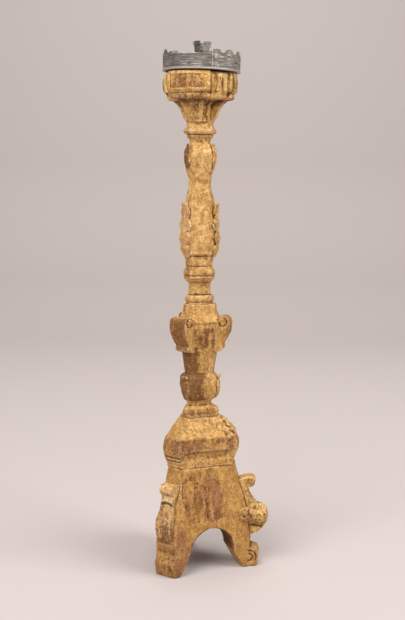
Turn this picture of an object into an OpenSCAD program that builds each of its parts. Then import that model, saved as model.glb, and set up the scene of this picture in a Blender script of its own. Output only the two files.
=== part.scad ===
// Carved and gilt three-sided candle stand with a lift-off sheet-metal drip pan.
// Millimetres, +Z up. The origin is where the axis of the stem meets the floor.
// The corner facets of the base face 210, 330 and 90 degrees, so one broad face looks along -Y.

/* [Base body] */
// Height of the solid base block, from the floor to the moulded cap
base_h = 186; // [170:1:200]
// Distance from the axis to the corner facets at the floor
base_foot_reach = 97; // [92:1:100]
// Distance from the axis to the corner facets at the neck above the feet
base_shin_reach = 94; // [89:1:97]
// Distance from the axis to the corner facets under the cap
base_top_reach = 65; // [63:1:68]
// Half the width of a corner facet at the floor
base_foot_half = 21.5; // [20.5:0.5:24]
// Half the width of a corner facet under the cap
base_top_half = 17.5; // [15:0.5:19]
// Height of the arches between the legs
arch_h = 79; // [60:1:90]
// Half the width of an arch at its springing
arch_half = 40; // [32:1:42]
// Half the width of an arch at the floor
arch_foot_half = 60; // [50:1:62]

/* [Feet and consoles] */
// Radius of the rolled toe of each foot
toe_r = 14; // [12:0.5:16]
// Half the width of a foot
foot_half = 19.5; // [16:0.5:20]
// How far the three toes reach from the axis, the first one worn short
toe_reach = [99, 110, 110]; // [99:1:110]
// How far the three knees stand out from the shin, the first one broken away
knee_out = [10, 30, 30]; // [6:1:32]
// Height of the knee's widest point above the floor
knee_z = 90; // [84:1:94]
// Half the width of a console's plate
console_half = 15; // [12:0.5:17]
// Radius of the curl at a console's head
curl_r = 9.5; // [8:0.5:11]
// How far the centres of the two whole curls lie in from the shin
curl_in = 1; // [-1:0.5:3]
// How far the centre of the worn curl lies in from the shin, on the first console
worn_curl_in = 9; // [7:0.5:10]
// Height of that curl's centre above the floor
curl_z = 152.5; // [150:0.5:156]
// Radius of the rolled cuff that wraps round a leg at the knee
cuff_r = 10; // [8:0.5:12]
// How far the cuff runs along the broad face on each side of the facet
cuff_wing = 15; // [8:1:18]

/* [Base cap] */
// Height of the fillet at the foot of the cap
cap_fillet_h = 7; // [5:0.5:10]
// Height of the cushion moulding with its coves
cap_cushion_h = 47; // [40:1:52]
// Height of the hipped roof
cap_roof_h = 29.5; // [24:0.5:36]
// Distance from the axis to the cushion's corner facets
cap_cushion_reach = 72.5; // [70:0.5:75]
// Depth of the coves under the cushion, in the broad faces
cap_cove = 8; // [4:0.5:9]
// Distance from the axis to the corner facets at the top of the roof
cap_top_reach = 38.5; // [37:0.5:42]
// Turn of the cap about the stem, against the base
cap_turn = -4; // [-10:1:10]

/* [Lower baluster] */
// Height of the collar that the baluster stands on
low_collar_h = 19; // [16:1:24]
// Height of the narrow neck over that collar
low_neck_h = 8; // [5:1:12]
// Height of the knop
knop_h = 50; // [44:1:58]
// Height of the hollow neck between the knop and the vase
waist_h = 38; // [30:1:46]
// Height of the vase below its eave
vase_h = 56; // [50:1:64]
// Height of the vase's shoulder, over the eave
shoulder_h = 28; // [24:1:36]
// Distance from the axis to the knop's corner facets
knop_reach = 34; // [31:0.5:37]
// Distance from the axis to the corner facets at the eave
vase_reach = 41; // [38:0.5:43]
// How far the broad faces of the knop swell out to their middle
knop_swell = 8.5; // [3:0.5:10]
// Turn of the lower baluster about the stem, against the base
vase_turn = -4; // [-15:1:15]
// Radius of the volute at the head of each scroll
volute_r = 12.8; // [11:0.2:14]
// Distance from the axis to the centre of that volute
volute_reach = 45; // [43:0.5:47]
// Half the width of a scroll at its head
scroll_half = 18; // [15:0.5:20]

/* [Upper shaft] */
// Height of the collar that the shaft stands on
foot_collar_h = 16; // [12:1:20]
// Height of the neck over that collar
shaft_neck_h = 28; // [22:1:34]
// Height of the ring moulding under the bulb
ring_h = 21; // [18:1:28]
// Height of the hollow between the ring and the bulb
bulb_neck_h = 14; // [10:1:18]
// Height of the bulb and the long taper over it
bulb_h = 141; // [130:1:155]
// Height of the upper knop
upper_knop_h = 58; // [52:1:66]
// Height of the cove over the upper knop
upper_neck_h = 10; // [8:1:14]
// Height of the collar and the fillet that carry the capital
top_collar_h = 23; // [19:1:28]
// Distance from the axis to the bulb's corner facets
bulb_reach = 31; // [29:0.5:34]
// Distance from the axis to the upper knop's corner facets
upper_knop_reach = 26; // [24:0.5:28]
// Distance from the axis to the corner facets at the thinnest neck
thin_neck_reach = 18; // [17:0.5:21]
// Turn of the upper shaft about the stem, against the base
shaft_turn = -14; // [-25:1:25]

/* [Capital] */
// Height of the three brackets
bracket_h = 36; // [30:1:42]
// Height of the ledge between the brackets and the frieze
ledge_h = 12; // [9:0.5:16]
// Height of the frieze
frieze_h = 34; // [30:1:42]
// Distance from the axis to the front of the frieze panels
frieze_reach = 66; // [62:0.5:68]
// Distance from the axis to the wall behind, between the panels
frieze_gap_reach = 57; // [52:0.5:59]
// Distance from the axis to a bracket's front at its foot
bracket_foot_reach = 25.5; // [24:0.5:27]
// Half the angle that one panel takes up round the stem
panel_half_angle = 38; // [34:0.5:40]
// Half the angle that one bracket takes up round the stem
bracket_half_angle = 31; // [26:0.5:33]
// Turn of the capital's panels about the stem, against the base corners
capital_turn = 15; // [0:1:30]

/* [Carved leaves] */
// Clearance behind each applied carving
seat_gap = 0.2; // [0.15:0.05:0.3]
// Half the width of a bulb leaf
bulb_leaf_half = 16; // [13:0.5:18]
// Thickness of a bulb leaf at its midrib
bulb_leaf_t = 5.5; // [4:0.5:7]
// Half the width of the lobes that clasp the knop
knop_leaf_half = 9.5; // [7:0.5:9.5]
// Thickness of those lobes at their midrib
knop_leaf_t = 4.5; // [3:0.5:6]
// Half the width of the leaves on the upper knop
upper_leaf_half = 9.5; // [7:0.5:11]
// Thickness of the leaves on the upper knop
upper_leaf_t = 4; // [3:0.5:5]
// Half the width of the leaves on the hips of the cap
hip_leaf_half = 14; // [10:0.5:16]
// Thickness of the leaves on the hips of the cap
hip_leaf_t = 6; // [4:0.5:8]
// Half the width of the tongues between the frieze panels
tongue_half = 11.5; // [8:0.5:12]
// Thickness of the tongues between the frieze panels
tongue_t = 5; // [3:0.5:6]
// Half the width of the sprigs in the hollows between the brackets
sprig_half = 4; // [3:0.5:4]
// Thickness of the sprigs
sprig_t = 6; // [4:0.5:8]

/* [Drip pan] */
// Outer radius of the gallery band
band_r = 66; // [62:0.5:68]
// Height of the plain band over the pan's floor
band_h = 23; // [18:1:30]
// Height of the cresting over the band
crest_h = 8.5; // [5:0.5:10]
// Number of crests in a full ring
crest_count = 16; // [12:1:18]
// Thickness of the sheet metal
sheet = 1; // [0.8:0.1:1.4]
// Radius of the rolled bead round the floor
bead_r = 1.4; // [1.2:0.1:2]
// Radius of the bore that takes the candle
candle_r = 11.5; // [10:0.5:13]
// Straight height of the nozzle
nozzle_h = 33; // [26:1:38]
// Height of the nozzle's petals
petal_h = 17; // [12:1:20]
// How far the petals flare out
petal_flare = 4; // [2:0.5:6]
// Number of petals
petal_count = 5; // [4:1:8]
// How far the pan leans on its seat, in degrees
pan_lean = 1.4; // [0:0.1:2]
// How far the pan sits off the axis of the stem, towards its low side
pan_shift = 2.5; // [0:0.5:4]

/* [Joints] */
// Radius of the dowel through the cap
base_dowel_r = 9; // [7:0.5:10]
// Radius of the dowels in the stem
stem_dowel_r = 7; // [5:0.5:8]
// How deep each dowel goes into the piece at each end
dowel_depth = 28; // [20:1:32]
// Clearance round and beyond a dowel
dowel_gap = 0.1; // [0.08:0.01:0.2]
// Width of the square iron tang under the pan
tang_w = 6; // [5:0.5:8]
// Length of the tang below the pan's floor
tang_l = 42; // [30:1:46]
// Clearance round the tang in its mortise
tang_gap = 1.4; // [1.2:0.1:2]

/* [Hidden] */
// Direction of the first corner facet, and the angle from one corner to the next
corner_dir = 210;
corner_step = 120;
// Rounding of the long edges, and levels in each curved run
edge_round = 1.2;
curve_steps = 4;
// Small overlap that makes cuts and joins clean
cut = 1;

// Gilt wood, worn wood and dull metal, as the photograph shows them
gilt = [0.82, 0.62, 0.33];
worn_gilt = [0.72, 0.5, 0.27];
bare_wood = [0.5, 0.32, 0.18];
dull_metal = [0.42, 0.42, 0.41];
iron = [0.25, 0.23, 0.22];

// ---- Moulded runs -------------------------------------------------------------
// A section of the stem is a list of runs: [rise, reach, half, belly, swell]. Reach is the
// distance from the axis to the corner facets at the run's foot and half is half their width.
// Belly swells or hollows the run between its ends, and swell bows the broad faces.

base_runs = [
    [32, base_foot_reach, base_foot_half, 0],
    [24, base_shin_reach, base_foot_half - 1, 0],
    [39, base_shin_reach + 0.5, base_foot_half - 1, 0.5],
    [45, base_shin_reach - 4, base_foot_half - 1.5, 1],
    [base_h - 140, base_shin_reach - 15, base_top_half + 1.2, -1.2],
    [0, base_top_reach, base_top_half, 0]
];

cap_runs = [
    [cap_fillet_h, cap_cushion_reach - 8.5, 18, 0],
    [0, cap_cushion_reach - 9.5, 17.6, 0],
    [3, cap_cushion_reach - 10, 17.4, 0, -1],
    [8, cap_cushion_reach - 5, 19, -0.8, -cap_cove * 0.4],
    [0, cap_cushion_reach - 3.8, 19.6, 0, -cap_cove],
    [9, cap_cushion_reach - 2.8, 20, 0.9, -cap_cove],
    [2.5, cap_cushion_reach - 1.6, 20, 0, -cap_cove * 0.75],
    [cap_cushion_h - 27.5, cap_cushion_reach - 1, 20, 1.2, 0.5],
    [5, cap_cushion_reach - 4, 19.5, 0.8],
    [0, cap_cushion_reach - 7, 18.5, 0],
    [cap_roof_h, cap_cushion_reach - 8, 18, 2.2],
    [0, cap_top_reach, 12, 0]
];

neck_runs = [
    [4, 35, 10.5, 0],
    [0, 34, 10, 0],
    [low_collar_h - 6, 31.5, 9.5, 1.8],
    [2, 28, 8.5, 0.4],
    [0, 26, 8, 0],
    [low_neck_h, 22.5, 6.5, -0.5],
    [3, 24, 7.2, 0],
    [0, 26.5, 8, 0, 1],
    [knop_h - 27, 28, 8.6, 2.2, 2],
    [17, knop_reach, 9.5, 0.5, knop_swell],
    [4, knop_reach - 1, 9.5, 0.6, knop_swell - 1],
    [3, knop_reach - 5, 9.4, 0, knop_swell / 2]
];

vase_runs = [
    [waist_h, 27, 9.4, -0.8],
    [vase_h - 4, 32, 11, 0.8],
    [0, vase_reach - 2, 14.5, 0],
    [4, vase_reach, 15.2, 0.4],
    [0, vase_reach - 1, 15, 0],
    [shoulder_h - 5, vase_reach - 3, 14.4, -2.4],
    [5, 30.5, 10.8, 0],
    [0, 29, 10.4, 0]
];

baluster_runs = concat(neck_runs, vase_runs);

shaft_runs = [
    [foot_collar_h - 2, 24.6, 8.5, 0.8],
    [2, 24.2, 8.2, 0.3],
    [0, 23, 7.6, 0],
    [shaft_neck_h - 7, 21, 5, -0.8],
    [4, 20.4, 5, -0.4],
    [3, 25, 8.2, 0.3],
    [0, 24.6, 8.2, 0],
    [ring_h - 5, 25.6, 10, 2.6],
    [5, 23.6, 9.6, 0],
    [bulb_neck_h, 22.4, 9.4, -0.4],
    [22, 23.5, 10, 1.8],
    [22, bulb_reach - 1, 15.5, 1],
    [bulb_h - 82, bulb_reach - 1.5, 15, 0.8],
    [25, 24, 9, -0.8],
    [13, 19.6, 6, -0.4],
    [upper_knop_h - 29, 20.8, 7, 1],
    [10, upper_knop_reach, 10.5, 0.4],
    [9, upper_knop_reach - 0.6, 10.2, 0.6],
    [10, 22, 8, -1],
    [upper_neck_h, thin_neck_reach, 5.5, -1.2],
    [3, 24.2, 8, 0],
    [0, 25.2, 8.3, 0],
    [top_collar_h - 9, 25.6, 9, 2.6],
    [0, 25, 8.8, 0],
    [6, 24.4, 8.5, 0],
    [0, 24.2, 8.4, 0]
];

// Height at which a run starts, and the whole height of a section
function rise_to(runs, i) = i == 0 ? 0 : runs[i - 1][0] + rise_to(runs, i - 1);
function height_of(runs) = rise_to(runs, len(runs) - 1);

// Places of the sections one over the other
cap_z = height_of(base_runs);
baluster_z = cap_z + height_of(cap_runs);
shaft_z = baluster_z + height_of(baluster_runs);
capital_z = shaft_z + height_of(shaft_runs);
capital_h = bracket_h + ledge_h + frieze_h;
capital_top = capital_z + capital_h;

// Heights that carvings are set out from
roof_z = cap_z + cap_fillet_h + cap_cushion_h;
knop_foot_z = baluster_z + low_collar_h + low_neck_h;
knop_top_z = knop_foot_z + knop_h;
vase_foot_z = knop_top_z + waist_h;
eave_z = vase_foot_z + vase_h;
volute_z = eave_z - 6;
bulb_z = shaft_z + foot_collar_h + shaft_neck_h + ring_h + bulb_neck_h;
upper_knop_z = bulb_z + bulb_h;

// A section as levels [height, reach, half, swell]: straight runs have one, curved runs several
function swell_of(run) = is_undef(run[4]) ? 0 : run[4];
function mix(a, b, t) = a + t * (b - a);
function levels(runs, foot, grow = 0) = [
    for (i = [0 : len(runs) - 1])
        let (here = runs[i], next = runs[min(i + 1, len(runs) - 1)])
        let (steps = here[3] == 0 ? 1 : curve_steps)
        for (j = [0 : steps - 1])
            let (t = j / steps) [
                foot + rise_to(runs, i) + t * here[0],
                mix(here[1], next[1], t) + here[3] * sin(180 * t) + grow,
                mix(here[2], next[2], t),
                mix(swell_of(here), swell_of(next), t)
            ]
];

// Reach of the corner facets against height, for what is seated on them. A flat step has two
// levels at one height, so each level is moved up by a hair to keep them in order.
function seat_of(runs, foot) =
    let (all_levels = levels(runs, foot), hair = 0.0001)
    [for (i = [0 : len(all_levels) - 1]) [all_levels[i][0] + i * hair, all_levels[i][1]]];

// A point given along and across a horizontal direction
function at(dir, out, across, z) =
    [out * cos(dir) - across * sin(dir), out * sin(dir) + across * cos(dir), z];

// Outline of the stem at one level: three corner facets with eased edges, and three broad faces
// that swell or hollow through one point or more, given as shares of their half width
function stem_ring(level, turn, across = [0]) =
    let (z = level[0], reach = level[1], half = level[2], e = edge_round)
    let (face = reach * cos(60) + half * sin(60) + level[3], width = reach * sin(60) - half * cos(60))
    [for (k = [0 : 2]) let (dir = corner_dir + turn + corner_step * k) each concat([
        at(dir, reach - e * sin(60), -half - e * cos(60), z),
        at(dir, reach, e - half, z),
        at(dir, reach, half - e, z),
        at(dir, reach - e * sin(60), half + e * cos(60), z)
    ], [for (share = across) at(dir + corner_step / 2, face, share * width, z)])];

function centre_of(ring) = [for (axis = [0 : 2]) [for (p = ring) p[axis]] * [for (p = ring) 1] / len(ring)];

// A closed solid through rings of points, each ring counter-clockwise from above
module loft(rings) {
    n = len(rings[0]);
    last = (len(rings) - 1) * n;
    foot_mid = len(rings) * n;
    polyhedron(
        points = concat(
            [for (ring = rings) each ring],
            [centre_of(rings[0]), centre_of(rings[len(rings) - 1])]
        ),
        faces = concat(
            [for (i = [0 : n - 1]) [foot_mid, i, (i + 1) % n]],
            [for (j = [0 : len(rings) - 2], i = [0 : n - 1])
                let (a = j * n + i, b = j * n + (i + 1) % n)
                each [[a, a + n, b + n], [a, b + n, b]]],
            [for (i = [0 : n - 1]) [foot_mid + 1, last + (i + 1) % n, last + i]]
        )
    );
}

module stem_section(runs, foot, turn, grow = 0, across = [0]) {
    loft([for (l = levels(runs, foot, grow)) stem_ring(l, turn, across)]);
}

// Bore for one end of a dowel
module dowel_bore(r, z, h) {
    translate([0, 0, z]) cylinder(r = r + dowel_gap, h = h, $fn = 64);
}

// Smooth outline through a few hand-placed points
function spline_at(p, q, r, s, t) =
    0.5 * ((2 * q) + (r - p) * t + (2 * p - 5 * q + 4 * r - s) * t * t
        + (3 * q - p - 3 * r + s) * t * t * t);
function spline(points, steps) = [
    for (i = [0 : len(points) - 2], j = [0 : steps - 1])
        spline_at(points[max(i - 1, 0)], points[i], points[i + 1],
            points[min(i + 2, len(points) - 1)], j / steps),
    points[len(points) - 1]
];

// Points of an arc from one angle to another
function arc(centre, r, from, to, steps) =
    [for (i = [0 : steps]) let (a = mix(from, to, i / steps)) centre + r * [cos(a), sin(a)]];

function reversed(points) = [for (i = [len(points) - 1 : -1 : 0]) points[i]];

// The same outline on both sides of a line of symmetry
function mirrored(points) = [for (p = reversed(points)) [-p[0], p[1]]];

// A profile drawn as [distance from the axis, height], extruded across the direction it faces
module radial_plate(dir, half) {
    rotate([0, 0, dir]) translate([0, half, 0]) rotate([90, 0, 0]) linear_extrude(2 * half) children();
}

// An outline drawn as [across, height], extruded outwards along the direction it faces
module front_plate(dir, from, to) {
    rotate([0, 0, dir + 90]) translate([0, -from, 0]) rotate([90, 0, 0]) linear_extrude(to - from) children();
}

// ---- Base ---------------------------------------------------------------------

// Opening of one arch, seen square to its broad face
module arch_outline() {
    polygon(concat(
        [[-arch_foot_half, -cut], [arch_foot_half, -cut]],
        arc([0, arch_h - arch_half], arch_half, 0, 180, 36)
    ));
}

// Rolled toe of a foot over its flat sole
module foot_roll(k) {
    toe_z = toe_r + 6;
    sole_reach = toe_reach[k] - 1;
    radial_plate(corner_dir + corner_step * k, foot_half) polygon(concat(
        [[base_foot_reach - 25, 0], [sole_reach, 0]],
        arc([toe_reach[k] - toe_r, toe_z], toe_r, -acos(1 - 1 / toe_r), 160, 24),
        [[base_foot_reach - 25, toe_z]]
    ));
}

module base_body() color(worn_gilt) difference() {
    union() {
        stem_section(base_runs, 0, 0);
        for (k = [0 : 2]) foot_roll(k);
    }
    for (k = [0 : 2])
        front_plate(corner_dir + corner_step * (k + 0.5), -5, base_foot_reach + cut) arch_outline();
    dowel_bore(base_dowel_r, base_h - dowel_depth - dowel_gap, dowel_depth + dowel_gap + cut);
}

// How far a console's lip lies below the knee
console_drop = 34;

// Distance from the axis to the front of a knee
function knee_reach(k) = base_shin_reach + knee_out[k];

// Side of a console: a curl at the head, a waist, the knee and a lip over the shin. The curl of
// the first console is worn down to a blunt lobe.
module console_profile(k) {
    waist = base_shin_reach - 3;
    knee = knee_reach(k) - waist;
    lip_z = knee_z - console_drop;
    centre = [base_shin_reach - (k == 0 ? worn_curl_in : curl_in), curl_z];
    worn = spline([
        centre + [-curl_r, curl_r - 1], centre + [0, curl_r - 0.5], centre + [curl_r - 1.5, curl_r * 0.55],
        centre + [curl_r, -curl_r * 0.3], centre + [curl_r - 4, -curl_r * 0.9]
    ], 3);
    outer = [
        [waist - 1, curl_z - 10], [waist, curl_z - 21], [waist + knee * 0.22, knee_z + 29],
        [waist + knee * 0.62, knee_z + 17], [waist + knee * 0.92, knee_z + 11],
        [waist + knee, knee_z], [waist + knee * 0.9, knee_z - 13],
        [waist + knee * 0.64, knee_z - 25], [waist + knee * 0.28, lip_z + 2], [waist - 1, lip_z]
    ];
    polygon(concat(
        [[base_top_reach - 3, curl_z]],
        k == 0 ? worn : arc(centre, curl_r, 112, -112, 24),
        spline(outer, 4),
        [[base_top_reach + 5, lip_z]]
    ));
}

// Front of a console: waisted under the curl and rounded off at the lip
module console_front() {
    lip_z = knee_z - console_drop;
    side = [
        [console_half * 0.35, lip_z], [console_half * 0.85, lip_z + 3], [console_half, lip_z + 12],
        [console_half, knee_z + 15], [console_half * 0.78, curl_z - 22],
        [console_half * 0.92, curl_z - curl_r], [console_half, curl_z + curl_r + cut]
    ];
    right = spline(side, 3);
    polygon(concat(right, mirrored(right)));
}

// The rolled leaf that wraps a knee like a cuff, from one broad face round its front to the other,
// deepest in front. Its stations are [out, across, direction it faces, radius, half height, rise].
module cuff(k) {
    dir = corner_dir + corner_step * k;
    nose = knee_reach(k) - cuff_r;
    out = base_shin_reach - 4;
    half = base_foot_half - 1.5;
    side = [
        [nose - 1.5, console_half * 0.6, 36, cuff_r * 0.95, cuff_r * 1.6, -2],
        [nose - 9, console_half * 0.95, 62, cuff_r * 0.95, cuff_r * 1.4, 0],
        [mix(out, nose, 0.4), mix(half, console_half, 0.5), 72, cuff_r * 0.95, cuff_r * 1.25, 3],
        [out, half, 66, cuff_r * 0.95, cuff_r * 1.15, 6],
        [out - cuff_wing * 0.8 * sin(60), half + cuff_wing * 0.8 * cos(60), 60, cuff_r * 0.85, cuff_r * 1.1, 8],
        [out - cuff_wing * sin(60), half + cuff_wing * cos(60), 60, cuff_r * 0.5, cuff_r * 0.7, 8]
    ];
    nose_station = [nose, 0, 0, cuff_r, cuff_r * 1.7, -3];
    stations = concat([for (s = reversed(side)) [s[0], -s[1], -s[2], s[3], s[4], s[5]]], [nose_station], side);
    loft([for (s = stations) [for (a = [0 : 30 : 330])
        let (bulge = s[3] * sin(a))
        at(dir, s[0] + bulge * cos(s[2]), s[1] + bulge * sin(s[2]), knee_z + s[5] + s[4] * cos(a))
    ]]);
}

module console(k) color(gilt) difference() {
    union() {
        intersection() {
            radial_plate(corner_dir + corner_step * k, console_half + 4) console_profile(k);
            front_plate(corner_dir + corner_step * k, base_top_reach / 2, knee_reach(k) + cut) console_front();
        }
        if (k > 0) cuff(k);
    }
    stem_section(base_runs, 0, 0, seat_gap);
}

module base_cap() color(worn_gilt) difference() {
    stem_section(cap_runs, cap_z, cap_turn, 0, [-0.68, 0, 0.68]);
    dowel_bore(base_dowel_r, cap_z - cut, baluster_z - cap_z + 2 * cut);
}

// ---- Leaves -------------------------------------------------------------------

// Section of a leaf: [share of the half width, share of the thickness] from edge to edge
leaf_section = [
    [-1, 0.3], [-0.72, 0.86], [-0.26, 0.78], [0, 1.1], [0.26, 0.78], [0.72, 0.86], [1, 0.3]
];

function leaf_ring(z, dir, back, half, t) = concat(
    [at(dir, back, -half, z)],
    [for (s = leaf_section) at(dir, back + s[1] * t, s[0] * half, z)],
    [at(dir, back, half, z)]
);

// A leaf on a corner facet: lobed edges, thinner ends, and a tip that curls off its seat
module leaf(seat, dir, foot, tip, half, thick, lobes, curl, steps) {
    loft([
        for (i = [0 : steps])
            let (t = i / steps, z = mix(foot, tip, t))
            let (w = half * (0.32 + 0.68 * pow(sin(180 * min(0.97, t * 0.9 + 0.06)), 0.7)))
            let (edge = w * (1 - 0.3 * pow(abs(cos(180 * lobes * t)), 3)))
            let (thickness = thick * (0.5 + 0.5 * sin(180 * mix(0.15, 0.9, t))))
            leaf_ring(z, dir, lookup(z, seat) + seat_gap + curl * pow(t, 5), edge, thickness)
    ]);
}

// Rolled tip of a leaf, lying across a corner facet and clear of it
module leaf_roll(seat, dir, z, lift, r, half) {
    reach = lookup(z, seat) + seat_gap + lift;
    translate(at(dir, reach, half, z)) rotate([0, 0, dir]) rotate([90, 0, 0])
        cylinder(r = r, h = 2 * half, $fn = 40);
}

module hip_leaf(k) color(gilt)
    leaf(seat_of(cap_runs, cap_z), corner_dir + cap_turn + corner_step * k, roof_z + 1,
        baluster_z - 2.5, hip_leaf_half, hip_leaf_t, 3, 0, 12);

// ---- Lower baluster -----------------------------------------------------------

// Rounded lobe at a corner of the lower collar
module collar_lobe(k) {
    r = 8.5;
    h = low_collar_h - 3;
    centre = baluster_runs[0][1] - r + 1.5;
    lobe = spline([[r - 1, 0], [r, h * 0.3], [r, h * 0.65], [r - 3.5, h]], 4);
    translate(at(corner_dir + vase_turn + corner_step * k, centre, 0, baluster_z + 2))
        rotate_extrude($fn = 64) polygon(concat([[0, 0]], lobe, [[0, h]]));
}

module lower_baluster() color(worn_gilt) difference() {
    union() {
        stem_section(baluster_runs, baluster_z, vase_turn);
        for (k = [0 : 2]) collar_lobe(k);
    }
    dowel_bore(base_dowel_r, baluster_z - cut, dowel_depth + dowel_gap + cut);
    dowel_bore(stem_dowel_r, shaft_z - dowel_depth - dowel_gap, dowel_depth + dowel_gap + cut);
}

module knop_leaf(k) color(gilt) {
    seat = seat_of(baluster_runs, baluster_z);
    dir = corner_dir + vase_turn + corner_step * k;
    tip = knop_top_z - 7;
    leaf(seat, dir, knop_foot_z + 4, tip, knop_leaf_half, knop_leaf_t, 1, 0, 14);
    leaf_roll(seat, dir, tip + 0.6, 4, 2.8, knop_leaf_half * 0.66);
}

// Spiral groove in the side of a volute
function spiral(turns, r_out, r_in, steps) =
    [for (i = [0 : steps]) let (a = 80 - 360 * turns * i / steps, r = mix(r_out, r_in, i / steps))
        [r * cos(a), r * sin(a)]];

module spiral_groove() {
    outer = spiral(1.5, volute_r * 0.78, volute_r * 0.28, 30);
    inner = spiral(1.5, volute_r * 0.64, volute_r * 0.16, 30);
    polygon(concat(outer, reversed(inner)));
}

// Side of a scroll: the volute, a long outer curve and a lip at its foot
module scroll_profile() {
    foot = vase_foot_z;
    centre = [volute_reach, volute_z];
    outer = [
        [volute_reach + volute_r - 2, volute_z - 16], [volute_reach + 4, foot + 20],
        [volute_reach - 1.5, foot + 13]
    ];
    polygon(concat(
        arc(centre, volute_r, 195, -12, 40),
        spline(outer, 5),
        [[volute_reach + 0.5, foot + 10.5], [volute_reach + 0.5, foot + 6], [volute_reach - 4, foot + 2],
            [30, foot], [26, foot], [26, volute_z - 6]]
    ));
}

// Front of a scroll, drawn in a little towards its foot
module scroll_front() {
    side = [
        [scroll_half * 0.8, vase_foot_z - cut], [scroll_half * 0.84, vase_foot_z + 16],
        [scroll_half, eave_z - 14], [scroll_half, eave_z + volute_r]
    ];
    polygon(concat(side, mirrored(side)));
}

module vase_scroll(k) color(worn_gilt) {
    dir = corner_dir + vase_turn + corner_step * k;
    groove_d = 2;
    difference() {
        intersection() {
            radial_plate(dir, scroll_half + cut) scroll_profile();
            front_plate(dir, vase_reach / 4, volute_reach + volute_r + cut) scroll_front();
        }
        stem_section(vase_runs, knop_top_z, vase_turn, seat_gap);
        for (side = [-1, 1])
            translate(at(dir, volute_reach, side * (scroll_half - groove_d / 2 + cut / 2), volute_z))
                rotate([0, 0, dir]) translate([0, (groove_d + cut) / 2, 0]) rotate([90, 0, 0])
                    linear_extrude(groove_d + cut) spiral_groove();
    }
}

// ---- Upper shaft --------------------------------------------------------------

module upper_shaft() color(gilt) difference() {
    stem_section(shaft_runs, shaft_z, shaft_turn);
    dowel_bore(stem_dowel_r, shaft_z - cut, dowel_depth + dowel_gap + cut);
    dowel_bore(stem_dowel_r, capital_z - dowel_depth - dowel_gap, dowel_depth + dowel_gap + cut);
}

// Eyes drilled where the lobes of a bulb leaf meet
module leaf_eyes(dir, foot, tip, half, lobes) {
    eye_r = 1.6;
    for (i = [1 : lobes - 1], side = [-1, 1])
        translate(at(dir, bulb_reach - 2, side * (half - eye_r), mix(foot, tip, i / lobes)))
            rotate([0, 0, dir]) rotate([0, 90, 0]) cylinder(r = eye_r, h = bulb_leaf_t * 3, $fn = 24);
}

module bulb_leaf(k) color(gilt) {
    seat = seat_of(shaft_runs, shaft_z);
    dir = corner_dir + shaft_turn + corner_step * k;
    foot = bulb_z + 2;
    tip = bulb_z + 92;
    lobes = 4;
    difference() {
        leaf(seat, dir, foot, tip, bulb_leaf_half, bulb_leaf_t, lobes, 5, 20);
        leaf_eyes(dir, foot, tip, bulb_leaf_half * 0.66, lobes);
    }
    leaf_roll(seat, dir, tip + 0.5, 6.5, 3, bulb_leaf_half * 0.36);
}

module upper_leaf(k) color(gilt) {
    seat = seat_of(shaft_runs, shaft_z);
    dir = corner_dir + shaft_turn + corner_step * k;
    tip = upper_knop_z + upper_knop_h - 6;
    leaf(seat, dir, upper_knop_z + 12, tip, upper_leaf_half, upper_leaf_t, 2, 4, 12);
    leaf_roll(seat, dir, tip + 0.5, 5, 2.4, upper_leaf_half * 0.4);
}

// ---- Capital ------------------------------------------------------------------

// Reach of the capital's flat top, where the drip pan rests
capital_rim_reach = frieze_reach - 4.5;
ledge_z = bracket_h + ledge_h;
field_edge = 5.5;
field_sink = 1.6;
core_r = bracket_foot_reach * 0.4;

// Fronts of a bracket, the ledge and a frieze panel over it, as [reach, height]
bracket_front = spline([
    [bracket_foot_reach, 0], [bracket_foot_reach - 0.5, 2], [bracket_foot_reach + 4.5, 8],
    [bracket_foot_reach + 7, 14], [bracket_foot_reach + 10, 21], [bracket_foot_reach + 14.5, bracket_h - 8],
    [frieze_reach - 19, bracket_h - 1]
], 3);
ledge_front = [
    [frieze_reach - 9, bracket_h + 1.5], [frieze_reach - 6.5, bracket_h + 4], [frieze_reach - 7, ledge_z - 4],
    [frieze_reach - 9, ledge_z - 2]
];
panel_front = spline([
    [frieze_reach - 5, ledge_z], [frieze_reach - 1.5, ledge_z + 4], [frieze_reach, ledge_z + frieze_h * 0.4],
    [frieze_reach - 0.5, ledge_z + frieze_h * 0.7], [capital_rim_reach, capital_h]
], 4);

// The wall between the brackets and the panels, as [reach, height]. It stops just under their tops.
wall_top = capital_h - 0.6;
gap_wall = [
    [bracket_foot_reach - 2, 0], [bracket_foot_reach - 4, 2], [19.5, 8], [19, 14], [20, 21],
    [22, bracket_h - 8], [25, bracket_h - 4], [30, bracket_h - 1], [48, bracket_h + 1.5],
    [53, bracket_h + 4], [53.5, ledge_z - 4], [frieze_gap_reach - 3, ledge_z - 2],
    [frieze_gap_reach - 2, ledge_z], [frieze_gap_reach - 0.5, ledge_z + 4],
    [frieze_gap_reach, ledge_z + 14], [frieze_gap_reach, capital_h - 8], [frieze_gap_reach - 1.5, wall_top]
];

// A profile turned about the axis of the stem, over a share of the circle to both sides of a direction
module turned(dir, half_angle) {
    translate([0, 0, capital_z]) rotate([0, 0, dir - half_angle])
        rotate_extrude(angle = 2 * half_angle, $fn = 128) children();
}

// Rounded end of a frieze panel, from its foot to its top
module panel_end(dir) {
    centre = frieze_reach - 7.6;
    end = spline([[2.5, 0], [5, 4], [6, frieze_h * 0.45], [5.5, frieze_h * 0.75], [2, frieze_h]], 4);
    translate(at(dir, centre, 0, capital_z + ledge_z))
        rotate_extrude($fn = 48) polygon(concat([[0, 0]], end, [[0, frieze_h]]));
}

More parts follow.
